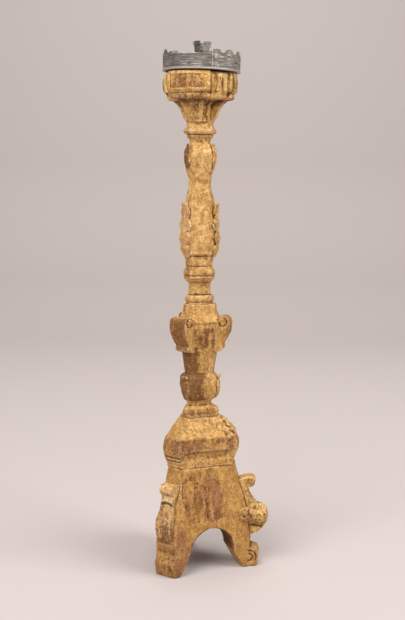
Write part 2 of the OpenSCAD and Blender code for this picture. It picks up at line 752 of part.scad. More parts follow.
// Opening of the sunk field in a panel's front
module panel_field() {
    top = capital_h - field_edge;
    inner = [for (p = panel_front) if (p[1] > ledge_z + field_edge && p[1] < top) p - [field_sink, 0]];
    foot = inner[0];
    head = inner[len(inner) - 1];
    polygon(concat([[frieze_reach + cut, ledge_z + field_edge], [foot[0] - 0.2, ledge_z + field_edge]], inner,
        [[head[0] - 0.4, top], [frieze_reach + cut, top]]));
}

module capital() color(gilt) difference() {
    union() {
        turned(0, 180) polygon(concat([[0, 0]], gap_wall, [[0, wall_top]]));
        for (k = [0 : 2]) {
            dir = corner_dir + capital_turn + corner_step * k;
            turned(dir, bracket_half_angle) polygon(concat(
                [[core_r, 0]], bracket_front, [[frieze_reach - 12, bracket_h + 3], [core_r, bracket_h + 3]]
            ));
            turned(dir, panel_half_angle) polygon(concat(
                [[core_r, bracket_h + 0.5], [frieze_reach - 14, bracket_h + 0.5]], ledge_front, panel_front,
                [[core_r, capital_h]]
            ));
            for (side = [-1, 1]) panel_end(dir + side * panel_half_angle);
        }
    }
    for (k = [0 : 2])
        turned(corner_dir + capital_turn + corner_step * k, panel_half_angle - field_edge * 1.2) panel_field();
    dowel_bore(stem_dowel_r, capital_z - cut, dowel_depth + dowel_gap + cut);
    mortise_w = tang_w + 2 * tang_gap;
    translate([pan_centre[0], pan_centre[1], capital_top - tang_l - 2])
        linear_extrude(tang_l + 2 + cut) square(mortise_w, center = true);
}

gap_seat = [for (p = gap_wall) [capital_z + p[1], p[0]]];
gap_dir = corner_dir + capital_turn + corner_step / 2;

// Tongue between two panels: a broad head over two spread legs
module tongue_outline() {
    h = frieze_h - 2;
    side = [
        [tongue_half, h], [tongue_half * 0.86, h * 0.75], [tongue_half * 0.74, h * 0.5],
        [tongue_half * 0.86, h * 0.22], [tongue_half, 1]
    ];
    right = spline(side, 4);
    slot = [[-tongue_half * 0.3, 1], [-tongue_half * 0.2, h * 0.45], [-tongue_half * 0.16, h * 0.74],
        [tongue_half * 0.08, h * 0.7], [tongue_half * 0.22, h * 0.4], [tongue_half * 0.4, 1]];
    polygon(concat(right, reversed(slot), mirrored(right)));
}

module capital_tongue(k) color(gilt) intersection() {
    dir = gap_dir + corner_step * k;
    front = frieze_gap_reach + tongue_t;
    translate([0, 0, capital_z + ledge_z]) front_plate(dir, frieze_gap_reach / 2, front + cut) tongue_outline();
    turned(dir, corner_step / 2 - panel_half_angle + 3) polygon(concat(
        [for (p = gap_wall) if (p[1] >= ledge_z) p + [seat_gap, 0]],
        [[frieze_gap_reach - 0.5, capital_h], [front - 0.5, capital_h - 6],
            [front, ledge_z + frieze_h * 0.4], [front - 3, ledge_z]]
    ));
}

module capital_sprig(k) color(gilt)
    leaf(gap_seat, gap_dir + corner_step * k, capital_z + 3, capital_z + bracket_h - 4,
        sprig_half, sprig_t, 2, 1, 10);

// ---- Dowels -------------------------------------------------------------------

module dowel(r, z, h) color(bare_wood) translate([0, 0, z]) cylinder(r = r, h = h, $fn = 64);

module base_dowel() dowel(base_dowel_r, cap_z - dowel_depth, baluster_z - cap_z + 2 * dowel_depth);
module stem_dowel() dowel(stem_dowel_r, shaft_z - dowel_depth, 2 * dowel_depth);
module capital_dowel() dowel(stem_dowel_r, capital_z - dowel_depth, 2 * dowel_depth);

// ---- Drip pan -----------------------------------------------------------------

// The pan leans about a level line through its centre, and its low edge rests on the capital
low_dir = -24;
pan_centre = [pan_shift * cos(low_dir), pan_shift * sin(low_dir)];
pan_z = capital_top + sin(pan_lean) * (capital_rim_reach - pan_shift) + seat_gap;
bead_reach = band_r - sheet / 2;
band_z = 2 * bead_r + 0.1;

module on_pan() {
    translate([pan_centre[0], pan_centre[1], pan_z])
        rotate(a = pan_lean, v = [cos(low_dir + 90), sin(low_dir + 90), 0]) children();
}

// Flat floor with a rolled bead round its edge, and a hole that the tang is riveted through
module pan_floor() color(dull_metal) on_pan() difference() {
    rotate_extrude($fn = 128) {
        square([bead_reach, sheet]);
        translate([bead_reach, bead_r]) circle(r = bead_r, $fn = 32);
    }
    translate([0, 0, -cut]) cylinder(r = tang_w / 2 + 0.05, h = sheet + 2 * cut, $fn = 48);
}

// Gap between two crests, seen square to the band: narrow at its foot, with rounded crests beside it
module notch_outline(pitch) {
    w = pitch - 1.5;
    side = [
        [w, crest_h + cut], [w, crest_h - 0.4], [w * 0.62, crest_h * 0.86], [w * 0.34, crest_h * 0.58],
        [w * 0.22, crest_h * 0.2]
    ];
    polygon(concat(side, mirrored(side)));
}

// Crests stand all round but for the stretch at the front that is broken away, with a stump beside it
crest_step = 360 / crest_count;
crest_dir = 267;
broken_crests = 3;
stump_h = 3.5;

// A ring of the band's sheet
module band_ring(z, h) {
    translate([0, 0, z]) difference() {
        cylinder(r = band_r, h = h, $fn = 128);
        translate([0, 0, -cut]) cylinder(r = band_r - sheet, h = h + 2 * cut, $fn = 128);
    }
}

// Space over the band's edge where crests are broken off, from one direction on
module broken_stretch(dir, angle, floor) {
    translate([0, 0, band_z + band_h + floor]) rotate([0, 0, dir]) rotate_extrude(angle = angle, $fn = 128)
        translate([band_r - sheet - cut, 0]) square([sheet + 2 * cut, crest_h + cut]);
}

module gallery_band() color(dull_metal) on_pan() {
    pitch = band_r * sin(crest_step / 2);
    hole_r = 1.7;
    hole_drop = 3;
    whole_crests = crest_count - broken_crests;
    first_break = crest_dir + crest_step * (whole_crests - 0.5);
    difference() {
        band_ring(band_z, band_h + crest_h);
        for (i = [0 : crest_count - 1]) translate([0, 0, band_z + band_h])
            front_plate(crest_dir + crest_step * (i + 0.5), band_r * 0.8, band_r + cut) notch_outline(pitch);
        broken_stretch(first_break, crest_step, stump_h);
        broken_stretch(first_break + crest_step, crest_step * (broken_crests - 1), 0);
        for (i = [0 : whole_crests - 1]) translate([0, 0, band_z + band_h - hole_drop])
            front_plate(crest_dir + crest_step * i, band_r * 0.8, band_r + cut) {
                translate([0, -hole_r * 1.2]) circle(r = hole_r, $fn = 24);
                translate([-hole_r, -hole_r * 1.2]) square([2 * hole_r, hole_r * 2.4]);
                translate([0, hole_r * 1.2]) circle(r = hole_r, $fn = 24);
            }
    }
}

// Candle nozzle: a straight tube whose top is cut into petals that flare out
module nozzle() color(dull_metal) on_pan() difference() {
    petal_z = sheet + nozzle_h;
    inner = [
        [candle_r, sheet], [candle_r, petal_z], [candle_r + petal_flare * 0.3, petal_z + petal_h * 0.4],
        [candle_r + petal_flare, petal_z + petal_h]
    ];
    rotate_extrude($fn = 96) polygon(concat(inner, [for (i = [3 : -1 : 0]) inner[i] + [sheet, 0]]));
    for (i = [0 : petal_count - 1]) translate([0, 0, petal_z])
        front_plate(30 + i * 360 / petal_count, 0, candle_r + petal_flare + 3) {
            translate([0, 3.6]) circle(r = 1.6, $fn = 24);
            polygon([[-1.6, 3.6], [1.6, 3.6], [3.6, petal_h + cut], [-3.6, petal_h + cut]]);
        }
}

// Square iron tang: a round shank riveted flush in the floor, and a square pin under it
module pan_tang() color(iron) on_pan() {
    translate([0, 0, -cut]) cylinder(r = tang_w / 2, h = sheet + cut, $fn = 48);
    translate([0, 0, -tang_l + 8]) linear_extrude(tang_l - 8) square(tang_w, center = true);
    translate([0, 0, -tang_l]) rotate([0, 0, 45])
        cylinder(r1 = 1, r2 = tang_w * sqrt(0.5), h = 8 + 0.01, $fn = 4);
}

base_body();
for (k = [0 : 2]) console(k);
base_cap();
for (k = [1 : 2]) hip_leaf(k);
lower_baluster();
for (k = [0 : 2]) knop_leaf(k);
for (k = [0 : 2]) vase_scroll(k);
upper_shaft();
for (k = [0 : 2]) bulb_leaf(k);
for (k = [0 : 2]) upper_leaf(k);
capital();
for (k = [0 : 2]) capital_tongue(k);
for (k = [0 : 2]) capital_sprig(k);
base_dowel();
stem_dowel();
capital_dowel();
pan_floor();
gallery_band();
nozzle();
pan_tang();
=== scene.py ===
import math
from functools import partial

import bmesh
import bpy
import numpy as np
from mathutils import Matrix, Vector


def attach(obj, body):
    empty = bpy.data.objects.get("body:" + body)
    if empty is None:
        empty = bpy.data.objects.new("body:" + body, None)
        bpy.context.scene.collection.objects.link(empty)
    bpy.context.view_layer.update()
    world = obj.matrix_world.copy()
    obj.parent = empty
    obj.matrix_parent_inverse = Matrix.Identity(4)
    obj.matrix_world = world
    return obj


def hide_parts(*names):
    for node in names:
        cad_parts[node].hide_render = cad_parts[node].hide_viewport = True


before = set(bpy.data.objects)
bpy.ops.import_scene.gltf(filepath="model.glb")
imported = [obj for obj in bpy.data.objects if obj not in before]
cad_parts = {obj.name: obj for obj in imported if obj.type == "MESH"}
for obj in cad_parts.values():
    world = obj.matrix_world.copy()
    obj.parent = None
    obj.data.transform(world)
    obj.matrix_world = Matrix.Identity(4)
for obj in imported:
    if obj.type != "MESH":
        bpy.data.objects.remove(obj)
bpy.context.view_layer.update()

# ---- Base block ----
# The base is one block of softwood with three sawn arches, three feet and chamfered corners. Its broad
# faces are worn and pitted to bare wood inside a golden border, and the arches were never gilt.
# Directions are in degrees round the stem from +X, and the front left leg is the broken one.
scene = bpy.context.scene
MM = 1000
LEG_DIRECTIONS = (210, 330, 90)
BROKEN_LEG, *WHOLE_LEGS = LEG_DIRECTIONS
FACE_DIRECTIONS = (270, 30, 150)


def scatter(cell, seed):
    """A number from 0 to 1 for each whole-number cell."""
    mixed = cell[:, 0] * 374761393 + cell[:, 1] * 668265263 + cell[:, 2] * 2147483647 + seed * 144665
    mixed = (mixed ^ (mixed >> 13)) * 1274126177
    return ((mixed ^ (mixed >> 16)) & 0xFFFF) / 65535


def lumps(points, size, seed):
    """Soft noise of about one size over an array of points, between -1 and 1."""
    cell = points / size
    corner = np.floor(cell).astype(np.int64)
    part = cell - corner
    ease = part * part * (3 - 2 * part)
    total = np.zeros(len(points))
    for step in np.ndindex(2, 2, 2):
        weight = np.prod(np.where(step, ease, 1 - ease), axis=1)
        total += weight * (2 * scatter(corner + step, seed) - 1)
    return total


def ramp(value, start, end):
    """0 before start, 1 after end, and a soft step between them."""
    t = np.clip((value - start) / (end - start), 0, 1)
    return t * t * (3 - 2 * t)


def ridge(value, centre, width):
    """1 on the centre line, falling softly to 0 at a width to each side."""
    return 1 - ramp(np.abs(value - centre), 0, width)


def between(value, low, high, soft):
    """1 between two limits, falling to 0 over a soft distance outside them."""
    return ramp(value, low - soft, low) * ramp(high + soft - value, 0, soft)


def pocks(points, spacing, seed):
    """Distance to the nearest scattered spot, in spacings, and that spot's own number."""
    cell = np.floor(points / spacing).astype(np.int64)
    nearest = np.full(len(points), 9.0)
    number = np.zeros(len(points))
    for step in np.ndindex(3, 3, 3):
        near = cell + np.array(step) - 1
        spot = near + np.stack([scatter(near, seed + axis) for axis in range(3)], axis=1)
        gap = np.linalg.norm(spot - points / spacing, axis=1)
        number = np.where(gap < nearest, scatter(near, seed + 3), number)
        nearest = np.minimum(gap, nearest)
    return nearest, number


def pits(points, spacing, share, radius, soft, seed):
    """Mask of round pits at a share of scattered spots; radius and soft edge are in spacings."""
    nearest, number = pocks(points, spacing, seed)
    return (number < share) * ramp(radius - nearest, 0, soft)


def bent(places, amount, size, seed):
    """Places pushed about, so that a pattern runs less evenly."""
    return places + amount * lumps(places, size, seed)[:, None]


def along(places, direction):
    """Coordinates turned to a horizontal direction: outwards, across and up."""
    angle = math.radians(direction)
    out = places[:, 0] * math.cos(angle) + places[:, 1] * math.sin(angle)
    across = places[:, 1] * math.cos(angle) - places[:, 0] * math.sin(angle)
    return out, across, places[:, 2]


def facing(outward, direction, start, end):
    """Mask of surfaces that look along a direction, from one cosine to another."""
    return ramp(along(outward, direction)[0], start, end)


def carving_block(node, voxel, rounds=3, name=None):
    """A copy of one solid, remeshed into even small faces, with its sharp edges eased."""
    name = name or f"carved_{node}"
    shape = bmesh.new()
    shape.from_mesh(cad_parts[node].data)
    bmesh.ops.remove_doubles(shape, verts=shape.verts, dist=1e-6)
    rough_mesh = bpy.data.meshes.new(name)
    shape.to_mesh(rough_mesh)
    shape.free()
    piece = bpy.data.objects.new(name, rough_mesh)
    scene.collection.objects.link(piece)
    remesh = piece.modifiers.new("even faces", "REMESH")
    remesh.mode = "VOXEL"
    remesh.voxel_size = voxel
    remesh.use_smooth_shade = True
    ease = piece.modifiers.new("eased edges", "SMOOTH")
    ease.factor = 0.5
    ease.iterations = rounds
    graph = bpy.context.evaluated_depsgraph_get()
    finished = bpy.data.meshes.new_from_object(piece.evaluated_get(graph))
    piece.modifiers.clear()
    piece.data = finished
    bpy.data.meshes.remove(rough_mesh)
    return piece


def read_points(piece):
    """Positions and outward directions of a piece's vertices."""
    count = len(piece.data.vertices)
    places = np.zeros(count * 3)
    piece.data.vertices.foreach_get("co", places)
    outward = np.zeros(count * 3, np.float32)
    piece.data.vertex_normals.foreach_get("vector", outward)
    return places.reshape(-1, 3), outward.reshape(-1, 3).astype(float)


def write_points(piece, places):
    """Moves a piece's vertices to new places."""
    piece.data.vertices.foreach_set("co", places.ravel())
    piece.data.update()


def read_edges(piece):
    """The two vertices of each edge of a piece."""
    edges = np.zeros(len(piece.data.edges) * 2, np.int64)
    piece.data.edges.foreach_get("vertices", edges)
    return edges.reshape(-1, 2)


def neighbours_mean(values, edges):
    """Mean of the values at the neighbours of each vertex."""
    count = len(values)
    degree = np.bincount(edges.ravel(), minlength=count)
    total = np.stack([
        np.bincount(edges[:, 0], values[edges[:, 1], axis], count)
        + np.bincount(edges[:, 1], values[edges[:, 0], axis], count)
        for axis in range(values.shape[1])
    ], axis=1)
    return total / np.maximum(degree, 1)[:, None]


def carve(piece, cut):
    """Moves each vertex out along its normal by cut(places, outward), or in where that is below 0."""
    places, outward = read_points(piece)
    write_points(piece, places + outward * (cut(places * MM, outward) / MM)[:, None])


def soften(piece, where, rounds):
    """Rubs a piece down where the mask where(places) is 1."""
    edges = read_edges(piece)
    places, _ = read_points(piece)
    mask = where(places * MM)[:, None]
    for _ in range(rounds):
        places = places + mask * (neighbours_mean(places, edges) - places)
    write_points(piece, places)


def bulges(places, outward, edges):
    """How far each vertex stands out from its near and from its wider surroundings, in mm."""
    near = places
    for _ in range(4):
        near = neighbours_mean(near, edges)
    far = near
    for _ in range(26):
        far = neighbours_mean(far, edges)
    return [np.einsum("ij,ij->i", places - level, outward) * MM for level in (near, far)]


def mark_wear_and_light(piece, seed, bare_and_painted_light=None, soil_and_shade=None, chips=1.0):
    """Chips the sharp edges, then writes how proud, how hollow and soiled, and how worn through each place
    is: wear, dirt, painted highlight and painted shade.
    """
    deepest_chip, chip_size = 1.1, 6
    edges = read_edges(piece)
    places, outward = read_points(piece)
    fine, wide = bulges(places, outward, edges)
    if chips:
        loss = ramp(fine, 0.16, 0.5) * ramp(lumps(places * MM, chip_size, seed + 7), 0.0, 0.7)
        write_points(piece, places - outward * (loss * chips * deepest_chip / MM)[:, None])
        places, outward = read_points(piece)
        fine, wide = bulges(places, outward, edges)
    # Proud places later get painted highlights, and hollow places painted shade as well as dirt.
    proud = np.clip(fine * 2.6, 0, 1) * 0.6 + np.clip(wide * 0.5, 0, 1) * 0.5
    hollow = np.clip(-fine * 1.5, 0, 1) * 0.5 + np.clip(-wide * 0.6, 0, 1) * 0.8
    worn = bare_and_painted_light(places * MM, outward) if bare_and_painted_light else np.zeros(len(places))
    # Each piece's own marks add to the hollows; most of them are painted shade, some real dirt.
    if soil_and_shade:
        hollow = hollow + soil_and_shade(places * MM, outward)
    for title, values in (("proud", proud), ("hollow", hollow), ("bare_and_painted_light", worn)):
        layer = piece.data.attributes.new(title, "FLOAT", "POINT")
        layer.data.foreach_set("value", np.clip(values, 0, 1).astype(np.float32))


def finish_piece(piece, node, material, body="stand"):
    """Rides a finished piece on its body in place of its solid and gives it its material."""
    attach(piece, body)
    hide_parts(node)
    piece.data.materials.clear()
    piece.data.materials.append(material)


def add(tree, kind, **settings):
    """Adds a node and sets its fields; a name such as in_2 stands for the node's input 2."""
    node = tree.nodes.new(kind)
    for key, value in settings.items():
        if key.startswith("in_"):
            node.inputs[int(key[3:])].default_value = value
        else:
            setattr(node, key, value)
    return node


def feed(tree, target, item):
    """Links an output to a socket, or sets the socket to a plain value."""
    if isinstance(item, (int, float, tuple)):
        target.default_value = item
    else:
        tree.links.new(item, target)


def maths(tree, operation, first, second):
    """The result of an operation on two outputs or numbers."""
    node = add(tree, "ShaderNodeMath", operation=operation)
    feed(tree, node.inputs[0], first)
    feed(tree, node.inputs[1], second)
    return node.outputs[0]


def weighed(tree, *terms):
    """Sum of weighted values; a bare number is added as it is."""
    total = None
    for term in terms:
        value = term if isinstance(term, float) else maths(tree, "MULTIPLY", *term)
        total = value if total is None else maths(tree, "ADD", total, value)
    return total


def soft_step(tree, value, start, end):
    """0 where a value is under start, 1 where it is over end."""
    node = add(tree, "ShaderNodeMapRange", interpolation_type="SMOOTHSTEP", in_1=start, in_2=end)
    tree.links.new(value, node.inputs[0])
    return node.outputs[0]


def grain(tree, coordinates, scale, detail, roughness):
    """Noise over coordinates in metres."""
    node = add(tree, "ShaderNodeTexNoise", in_2=scale, in_3=detail, in_4=roughness)
    tree.links.new(coordinates, node.inputs[0])
    return node.outputs[0]


def stretched(tree, coordinates, scales):
    """Coordinates squeezed along some axes, which draws a pattern out."""
    node = add(tree, "ShaderNodeMapping", in_3=scales)
    tree.links.new(coordinates, node.inputs[0])
    return node.outputs[0]


def blend_colour(tree, mask, under, over, amount=1.0):
    """One colour laid over another by an amount of a mask."""
    node = add(tree, "ShaderNodeMix", data_type="RGBA")
    tree.links.new(mask if amount == 1.0 else maths(tree, "MULTIPLY", mask, amount), node.inputs[0])
    feed(tree, node.inputs[6], under)
    feed(tree, node.inputs[7], over)
    return node.outputs[2]


def wear_and_light_masks(tree):
    """How proud, how hollow and how worn through a place is, as the marking step wrote it; the materials turn
    these into wear, dirt, painted highlights and painted shade.
    """
    return [
        add(tree, "ShaderNodeAttribute", attribute_name=title).outputs["Fac"]
        for title in ("proud", "hollow", "bare_and_painted_light")
    ]


def finish_group(name, given, results):
    """An empty node group with the named inputs and outputs."""
    group = bpy.data.node_groups.new(name, "ShaderNodeTree")
    for title, value in given.items():
        kind = "NodeSocketFloat" if isinstance(value, float) else "NodeSocketColor"
        made = group.interface.new_socket(name=title, in_out="INPUT", socket_type=kind)
        made.default_value = value
    for title in results:
        kind = "NodeSocketColor" if title == "Color" else "NodeSocketFloat"
        group.interface.new_socket(name=title, in_out="OUTPUT", socket_type=kind)
    return group, add(group, "NodeGroupInput").outputs, add(group, "NodeGroupOutput").inputs


def old_gilding():
    """Node group: gold leaf over bole and gesso, worn through to wood, with dirt and painted shade in the
    hollows and painted highlights on raised edges.
    """
    colours = {
        "Gold": (0.70, 0.425, 0.140, 1), "Dull Gold": (0.46, 0.225, 0.055, 1),
        "Wood": (0.185, 0.074, 0.022, 1), "Bole": (0.255, 0.115, 0.050, 1),
        "Gesso": (0.80, 0.60, 0.38, 1), "Dirt And Shade": (0.085, 0.036, 0.013, 1),
    }
    results = ("Color", "Roughness", "Metallic", "Height")
    group, given, result = finish_group("old_gilding", {**colours, "Wear": 0.35, "Shade And Soiling": 0.5}, results)
    mix, step, noise, total = (partial(make, group) for make in (blend_colour, soft_step, grain, weighed))
    place = add(group, "ShaderNodeTexCoord").outputs["Object"]
    upright = stretched(group, place, (1, 1, 0.2))
    fibres = noise(upright, 360, 4, 0.6)
    streaks = noise(upright, 120, 3, 0.6)
    clouds = noise(place, 24, 4, 0.6)
    patches = noise(place, 90, 4, 0.65)
    specks = noise(place, 330, 3, 0.65)
    flecks = noise(stretched(group, place, (1, 1, 0.55)), 560, 2, 0.6)
    mottle = noise(stretched(group, place, (1, 1, 0.6)), 190, 3, 0.7)
    proud, hollow, bare_and_painted_light = wear_and_light_masks(group)

    # Leaf thins and then goes where wear, raised places, bare places and chance add up.
    chance = total((clouds, 1.0), (patches, 1.1), (streaks, 0.9), (specks, 0.6), -1.8)
    loss = total((given["Wear"], 1.0), (proud, 0.12), (bare_and_painted_light, 0.70), (chance, 1.0))
    thin = step(loss, -0.02, 0.42)
    worn = step(loss, 0.22, 0.66)
    kept = maths(group, "SUBTRACT", 1.0, worn)

    # Bright leaf lies in patches over duller leaf; under it are wood and bole with dark and golden fibres.
    gold = mix(step(patches, 0.36, 0.62), given["Dull Gold"], given["Gold"])
    gold = mix(thin, gold, given["Dull Gold"], 0.55)
    wood = mix(step(clouds, 0.44, 0.60), given["Wood"], given["Bole"])
    wood = mix(step(fibres, 0.50, 0.68), wood, given["Dirt And Shade"], 0.5)
    wood = mix(step(flecks, 0.52, 0.66), wood, given["Dull Gold"], 0.55)
    colour = mix(worn, gold, wood)

    # Brown mottling and pinholes, pale gesso, glints of leaf, chalky edges that are partly painted highlight,
    # and grime over all that is partly painted shade.
    colour = mix(step(mottle, 0.50, 0.66), colour, given["Wood"], 0.42)
    pinholes = step(total((specks, 1.0), (flecks, 0.6)), 0.85, 1.0)
    colour = mix(pinholes, colour, given["Wood"], 0.7)
    bald = step(maths(group, "SUBTRACT", 1.0, mottle), 0.52, 0.68)
    colour = mix(maths(group, "MULTIPLY", bald, kept), colour, given["Gesso"], 0.32)
    glints = step(total((specks, -1.0), (flecks, -0.6), 1.6), 0.86, 1.02)
    colour = mix(glints, colour, given["Gold"], 0.35)
    # Raised edges turn pale: partly rubbed gesso, partly painted highlight.
    rubbed = step(proud, 0.22, 0.85)
    chalk_and_highlight = maths(group, "MULTIPLY", rubbed, step(patches, 0.40, 0.64))
    colour = mix(chalk_and_highlight, colour, given["Gesso"], 0.6)
    # Hollows and soiled places turn dark: real dirt, and painted shade where shadow falls in them.
    grime_and_shade = total((given["Shade And Soiling"], 0.5), (hollow, 1.35), (streaks, 0.7), (specks, 0.7))
    colour = mix(step(grime_and_shade, 1.12, 2.10), colour, given["Dirt And Shade"], 0.86)
    group.links.new(colour, result["Color"])

    group.links.new(total((worn, 0.22), (patches, 0.14), 0.44), result["Roughness"])
    group.links.new(total((thin, -0.22), 0.22), result["Metallic"])
    relief = total((fibres, 0.4), (specks, 0.45), (worn, -0.3), (pinholes, -0.35), (mottle, -0.5))
    group.links.new(relief, result["Height"])
    return group


def dressed(name, group, strength, depth):
    """A material fed by a node group, with its shader and the group's node."""
    material = bpy.data.materials.new(name)
    material.use_nodes = True
    tree = material.node_tree
    shader = tree.nodes["Principled BSDF"]
    finish = add(tree, "ShaderNodeGroup", node_tree=group)
    bump = add(tree, "ShaderNodeBump")
    bump.inputs["Strength"].default_value = strength
    bump.inputs["Distance"].default_value = depth
    tree.links.new(finish.outputs["Height"], bump.inputs["Height"])
    tree.links.new(bump.outputs["Normal"], shader.inputs["Normal"])
    tree.links.new(finish.outputs["Color"], shader.inputs["Base Color"])
    tree.links.new(finish.outputs["Roughness"], shader.inputs["Roughness"])
    return material, shader, finish


GILDING = old_gilding()


def gilded(name, wear, shade_and_soiling, relief=0.7, **colours):
    """A material of old gilding, with its own wear, depth of texture and colours, and its own amount of dirt
    and painted shade.
    """
    material, shader, leafing = dressed(name, GILDING, relief, 0.0016)
    leafing.inputs["Wear"].default_value = wear
    leafing.inputs["Shade And Soiling"].default_value = shade_and_soiling
    for title, value in colours.items():
        leafing.inputs[title.replace("_", " ").title()].default_value = (*value, 1)
    material.node_tree.links.new(leafing.outputs["Metallic"], shader.inputs["Metallic"])
    shader.inputs["Specular IOR Level"].default_value = 0.22
    return material


def hand_work(places, seed, rough):
    """Depth of the unevenness that gouge and age leave on a surface."""
    broad = 0.5 * lumps(places, 31, seed)
    middle = 0.34 * lumps(places, 11, seed + 1)
    strokes = 0.22 * lumps(places * [1, 1, 0.35], 4.2, seed + 2)
    return rough * (broad + middle + strokes)


def worm_holes(places, seed, spacing=13.0, share=0.22):
    """Depth, below 0, of small round holes at some of the places."""
    return -1.6 * pits(places, spacing, share, 0.085, 0.04, seed)


def in_arch(places, direction):
    """Mask of the sawn arch under a broad face."""
    radius, spring, crown = 43, 39, 80.5
    out, across, z = along(places, direction)
    inside = ramp(radius - np.hypot(across, np.maximum(z - spring, 0)), 0, 2)
    return inside * ramp(out, 0, 10) * ramp(crown - z, 0, 1)


def brown_field(places, outward, direction):
    """Mask of the worn field of a broad face."""
    left, right, bottom, top, middle = -54, 19, 96, 179, 152
    out, across, z = along(places, direction)
    ragged = 5 * lumps(places, 15, 11)
    right_edge = right - 0.1 * (z - middle) + ragged
    sides = ramp(right_edge - across, 0, 5) * ramp(across - left, 0, 6)
    level = between(z, bottom + 1.5 * ragged, top + 0.25 * across, 7)
    return sides * level * facing(outward, direction, 0.8, 0.95)


def gashes(places):
    """Mask of upright pits torn out of the grain."""
    return pits(bent(places, 1.5, 7, 4) * [1, 1, 0.42], 6.5, 0.5, 0.36, 0.22, 4)


def edge_groove(places, direction):
    """Mask of the groove beside the left-hand facet of a broad face."""
    out, across, z = along(places, direction)
    line = -51 - 0.04 * (180 - z)
    return ridge(across, line, 3.6) * between(z, 138, 186, 4) * ramp(out, 25, 35)


def scrolled_toe(places, direction):
    """Depth of the lines down a foot's front and of the curl on its two sides."""
    reach, top, eye_reach, eye_z = 90, 39, 94, 17
    out, across, z = along(places, direction)
    toe = ramp(out, reach, reach + 4) * ramp(top - z, 0, 3)
    front = sum(ridge(across, line, 2.6) for line in (-12, -4, 4, 12))
    from_eye = np.hypot(out - eye_reach, z - eye_z)
    sides = ramp(np.abs(across), 17, 19) * (ridge(from_eye, 12, 2.8) + ridge(from_eye, 6, 2.6))
    return toe * (1.6 * front + 2.2 * sides)


def worn_foot(places, outward):
    """Depth of the crack in the broken leg's foot and of the cove over it."""
    cove_z, lip_z = 43, 25
    out, across, z = along(places, BROKEN_LEG)
    crack = ridge(across + 2.2 * np.sin(z / 7), 2, 1.4) * ramp(out, 86, 92) * ramp(30 - z, 0, 10)
    cove = (3.4 * ridge(z, cove_z, 14) - 0.9 * ridge(z, lip_z, 8)) * facing(outward, BROKEN_LEG, 0.62, 0.86)
    return 1.6 * crack + cove * ramp(out, 55, 66)


def foot_patch(places, width, height):
    """Mask of a round patch on the front of the broken leg's foot."""
    out, across, z = along(places, BROKEN_LEG)
    return np.exp(-((across - 13) / width) ** 2 - ((z - 14) / height) ** 2) * ramp(out, 80, 90)


def base_cuts(places, outward):
    """Sunk fields with torn pits, a torn band to their right, grooves and feet, and a sole left flat."""
    depth = hand_work(places, 3, 1.25)
    torn = gashes(places)
    for direction in FACE_DIRECTIONS:
        out, across, z = along(places, direction)
        field = brown_field(places, outward, direction)
        depth = depth - field * (0.7 + (0.52 + 1.3 * ridge(across, -2, 26)) * torn)
        band = ridge(across, 33, 11) * between(z, 92, 160, 10) * facing(outward, direction, 0.8, 0.95)
        depth = depth - 0.8 * band * torn - 1.5 * edge_groove(places, direction)
    for direction in WHOLE_LEGS:
        depth = depth - scrolled_toe(places, direction)
    depth = depth - worn_foot(places, outward) + worm_holes(places, 9)
    return depth * ramp(places[:, 2], 0.5, 4)


def base_soil_and_shade(places, outward):
    """Painted shade and dirt in the torn pits, painted shade in the grooves and the arches, and a dark patch
    on the broken leg's foot.
    """
    torn = gashes(places)
    soil_and_shade = 0.6 * foot_patch(places, 5, 8)
    for direction in FACE_DIRECTIONS:
        soil_and_shade = soil_and_shade + 0.6 * brown_field(places, outward, direction) * torn
        soil_and_shade = soil_and_shade + 0.3 * edge_groove(places, direction) + 0.6 * in_arch(places, direction)
    return soil_and_shade


def base_bare(places, outward):
    """Bare wood in fields and arches and on the broken leg's foot."""
    worn = 0.16 * lumps(places, 20, 12) + 0.32 * lumps(places * [1, 1, 0.35], 7, 13)
    for direction in FACE_DIRECTIONS:
        out, across, z = along(places, direction)
        core = np.exp(-((across - 8) / 17) ** 2 - ((z - 134) / 30) ** 2)
        field = brown_field(places, outward, direction)
        worn = worn + field * (0.44 + 0.24 * core) + 0.95 * in_arch(places, direction)
    out, across, z = along(places, BROKEN_LEG)
    foot = ramp(36 - z, 0, 8) * ramp(out, 60, 75)
    side = ramp(across, 15, 22) * ramp(95 - z, 0, 30) * ramp(out, 40, 60)
    return worn + 0.42 * foot + 0.6 * foot_patch(places, 6, 9) + 0.3 * side


base = carving_block("base_body", 0.0013, 5, "base_block")
soften(base, lambda places: ramp(places[:, 2], 176, 184), 8)
carve(base, base_cuts)
soften(base, lambda places: ramp(11 - places[:, 2], 0, 5), 22)
mark_wear_and_light(base, 5, base_bare, base_soil_and_shade)
base_gilding = gilded(
    "worn_base_gilding", wear=0.13, shade_and_soiling=0.45, relief=1.0, gold=(0.64, 0.36, 0.105),
    dull_gold=(0.42, 0.20, 0.05), gesso=(0.66, 0.44, 0.22), wood=(0.20, 0.084, 0.028), bole=(0.33, 0.15, 0.07)
)
finish_piece(base, "base_body", base_gilding)

# ---- Consoles ----
# Three scrolled consoles are carved from softwood and glued to the legs: a curl on a thin stem, an acanthus
# knee and a rolled leaf round the leg. The front left one has lost its curl and knee, and a scarred plate
# is left.
LOBE_Z = 135
CUFF_LOW, CUFF_HIGH = 76, 108
KNEE_REACH = 88


def plate_lip(across):
    """Height of the lip under the lobe, which hangs lower at its ends."""
    return 133 - (across / 7) ** 2


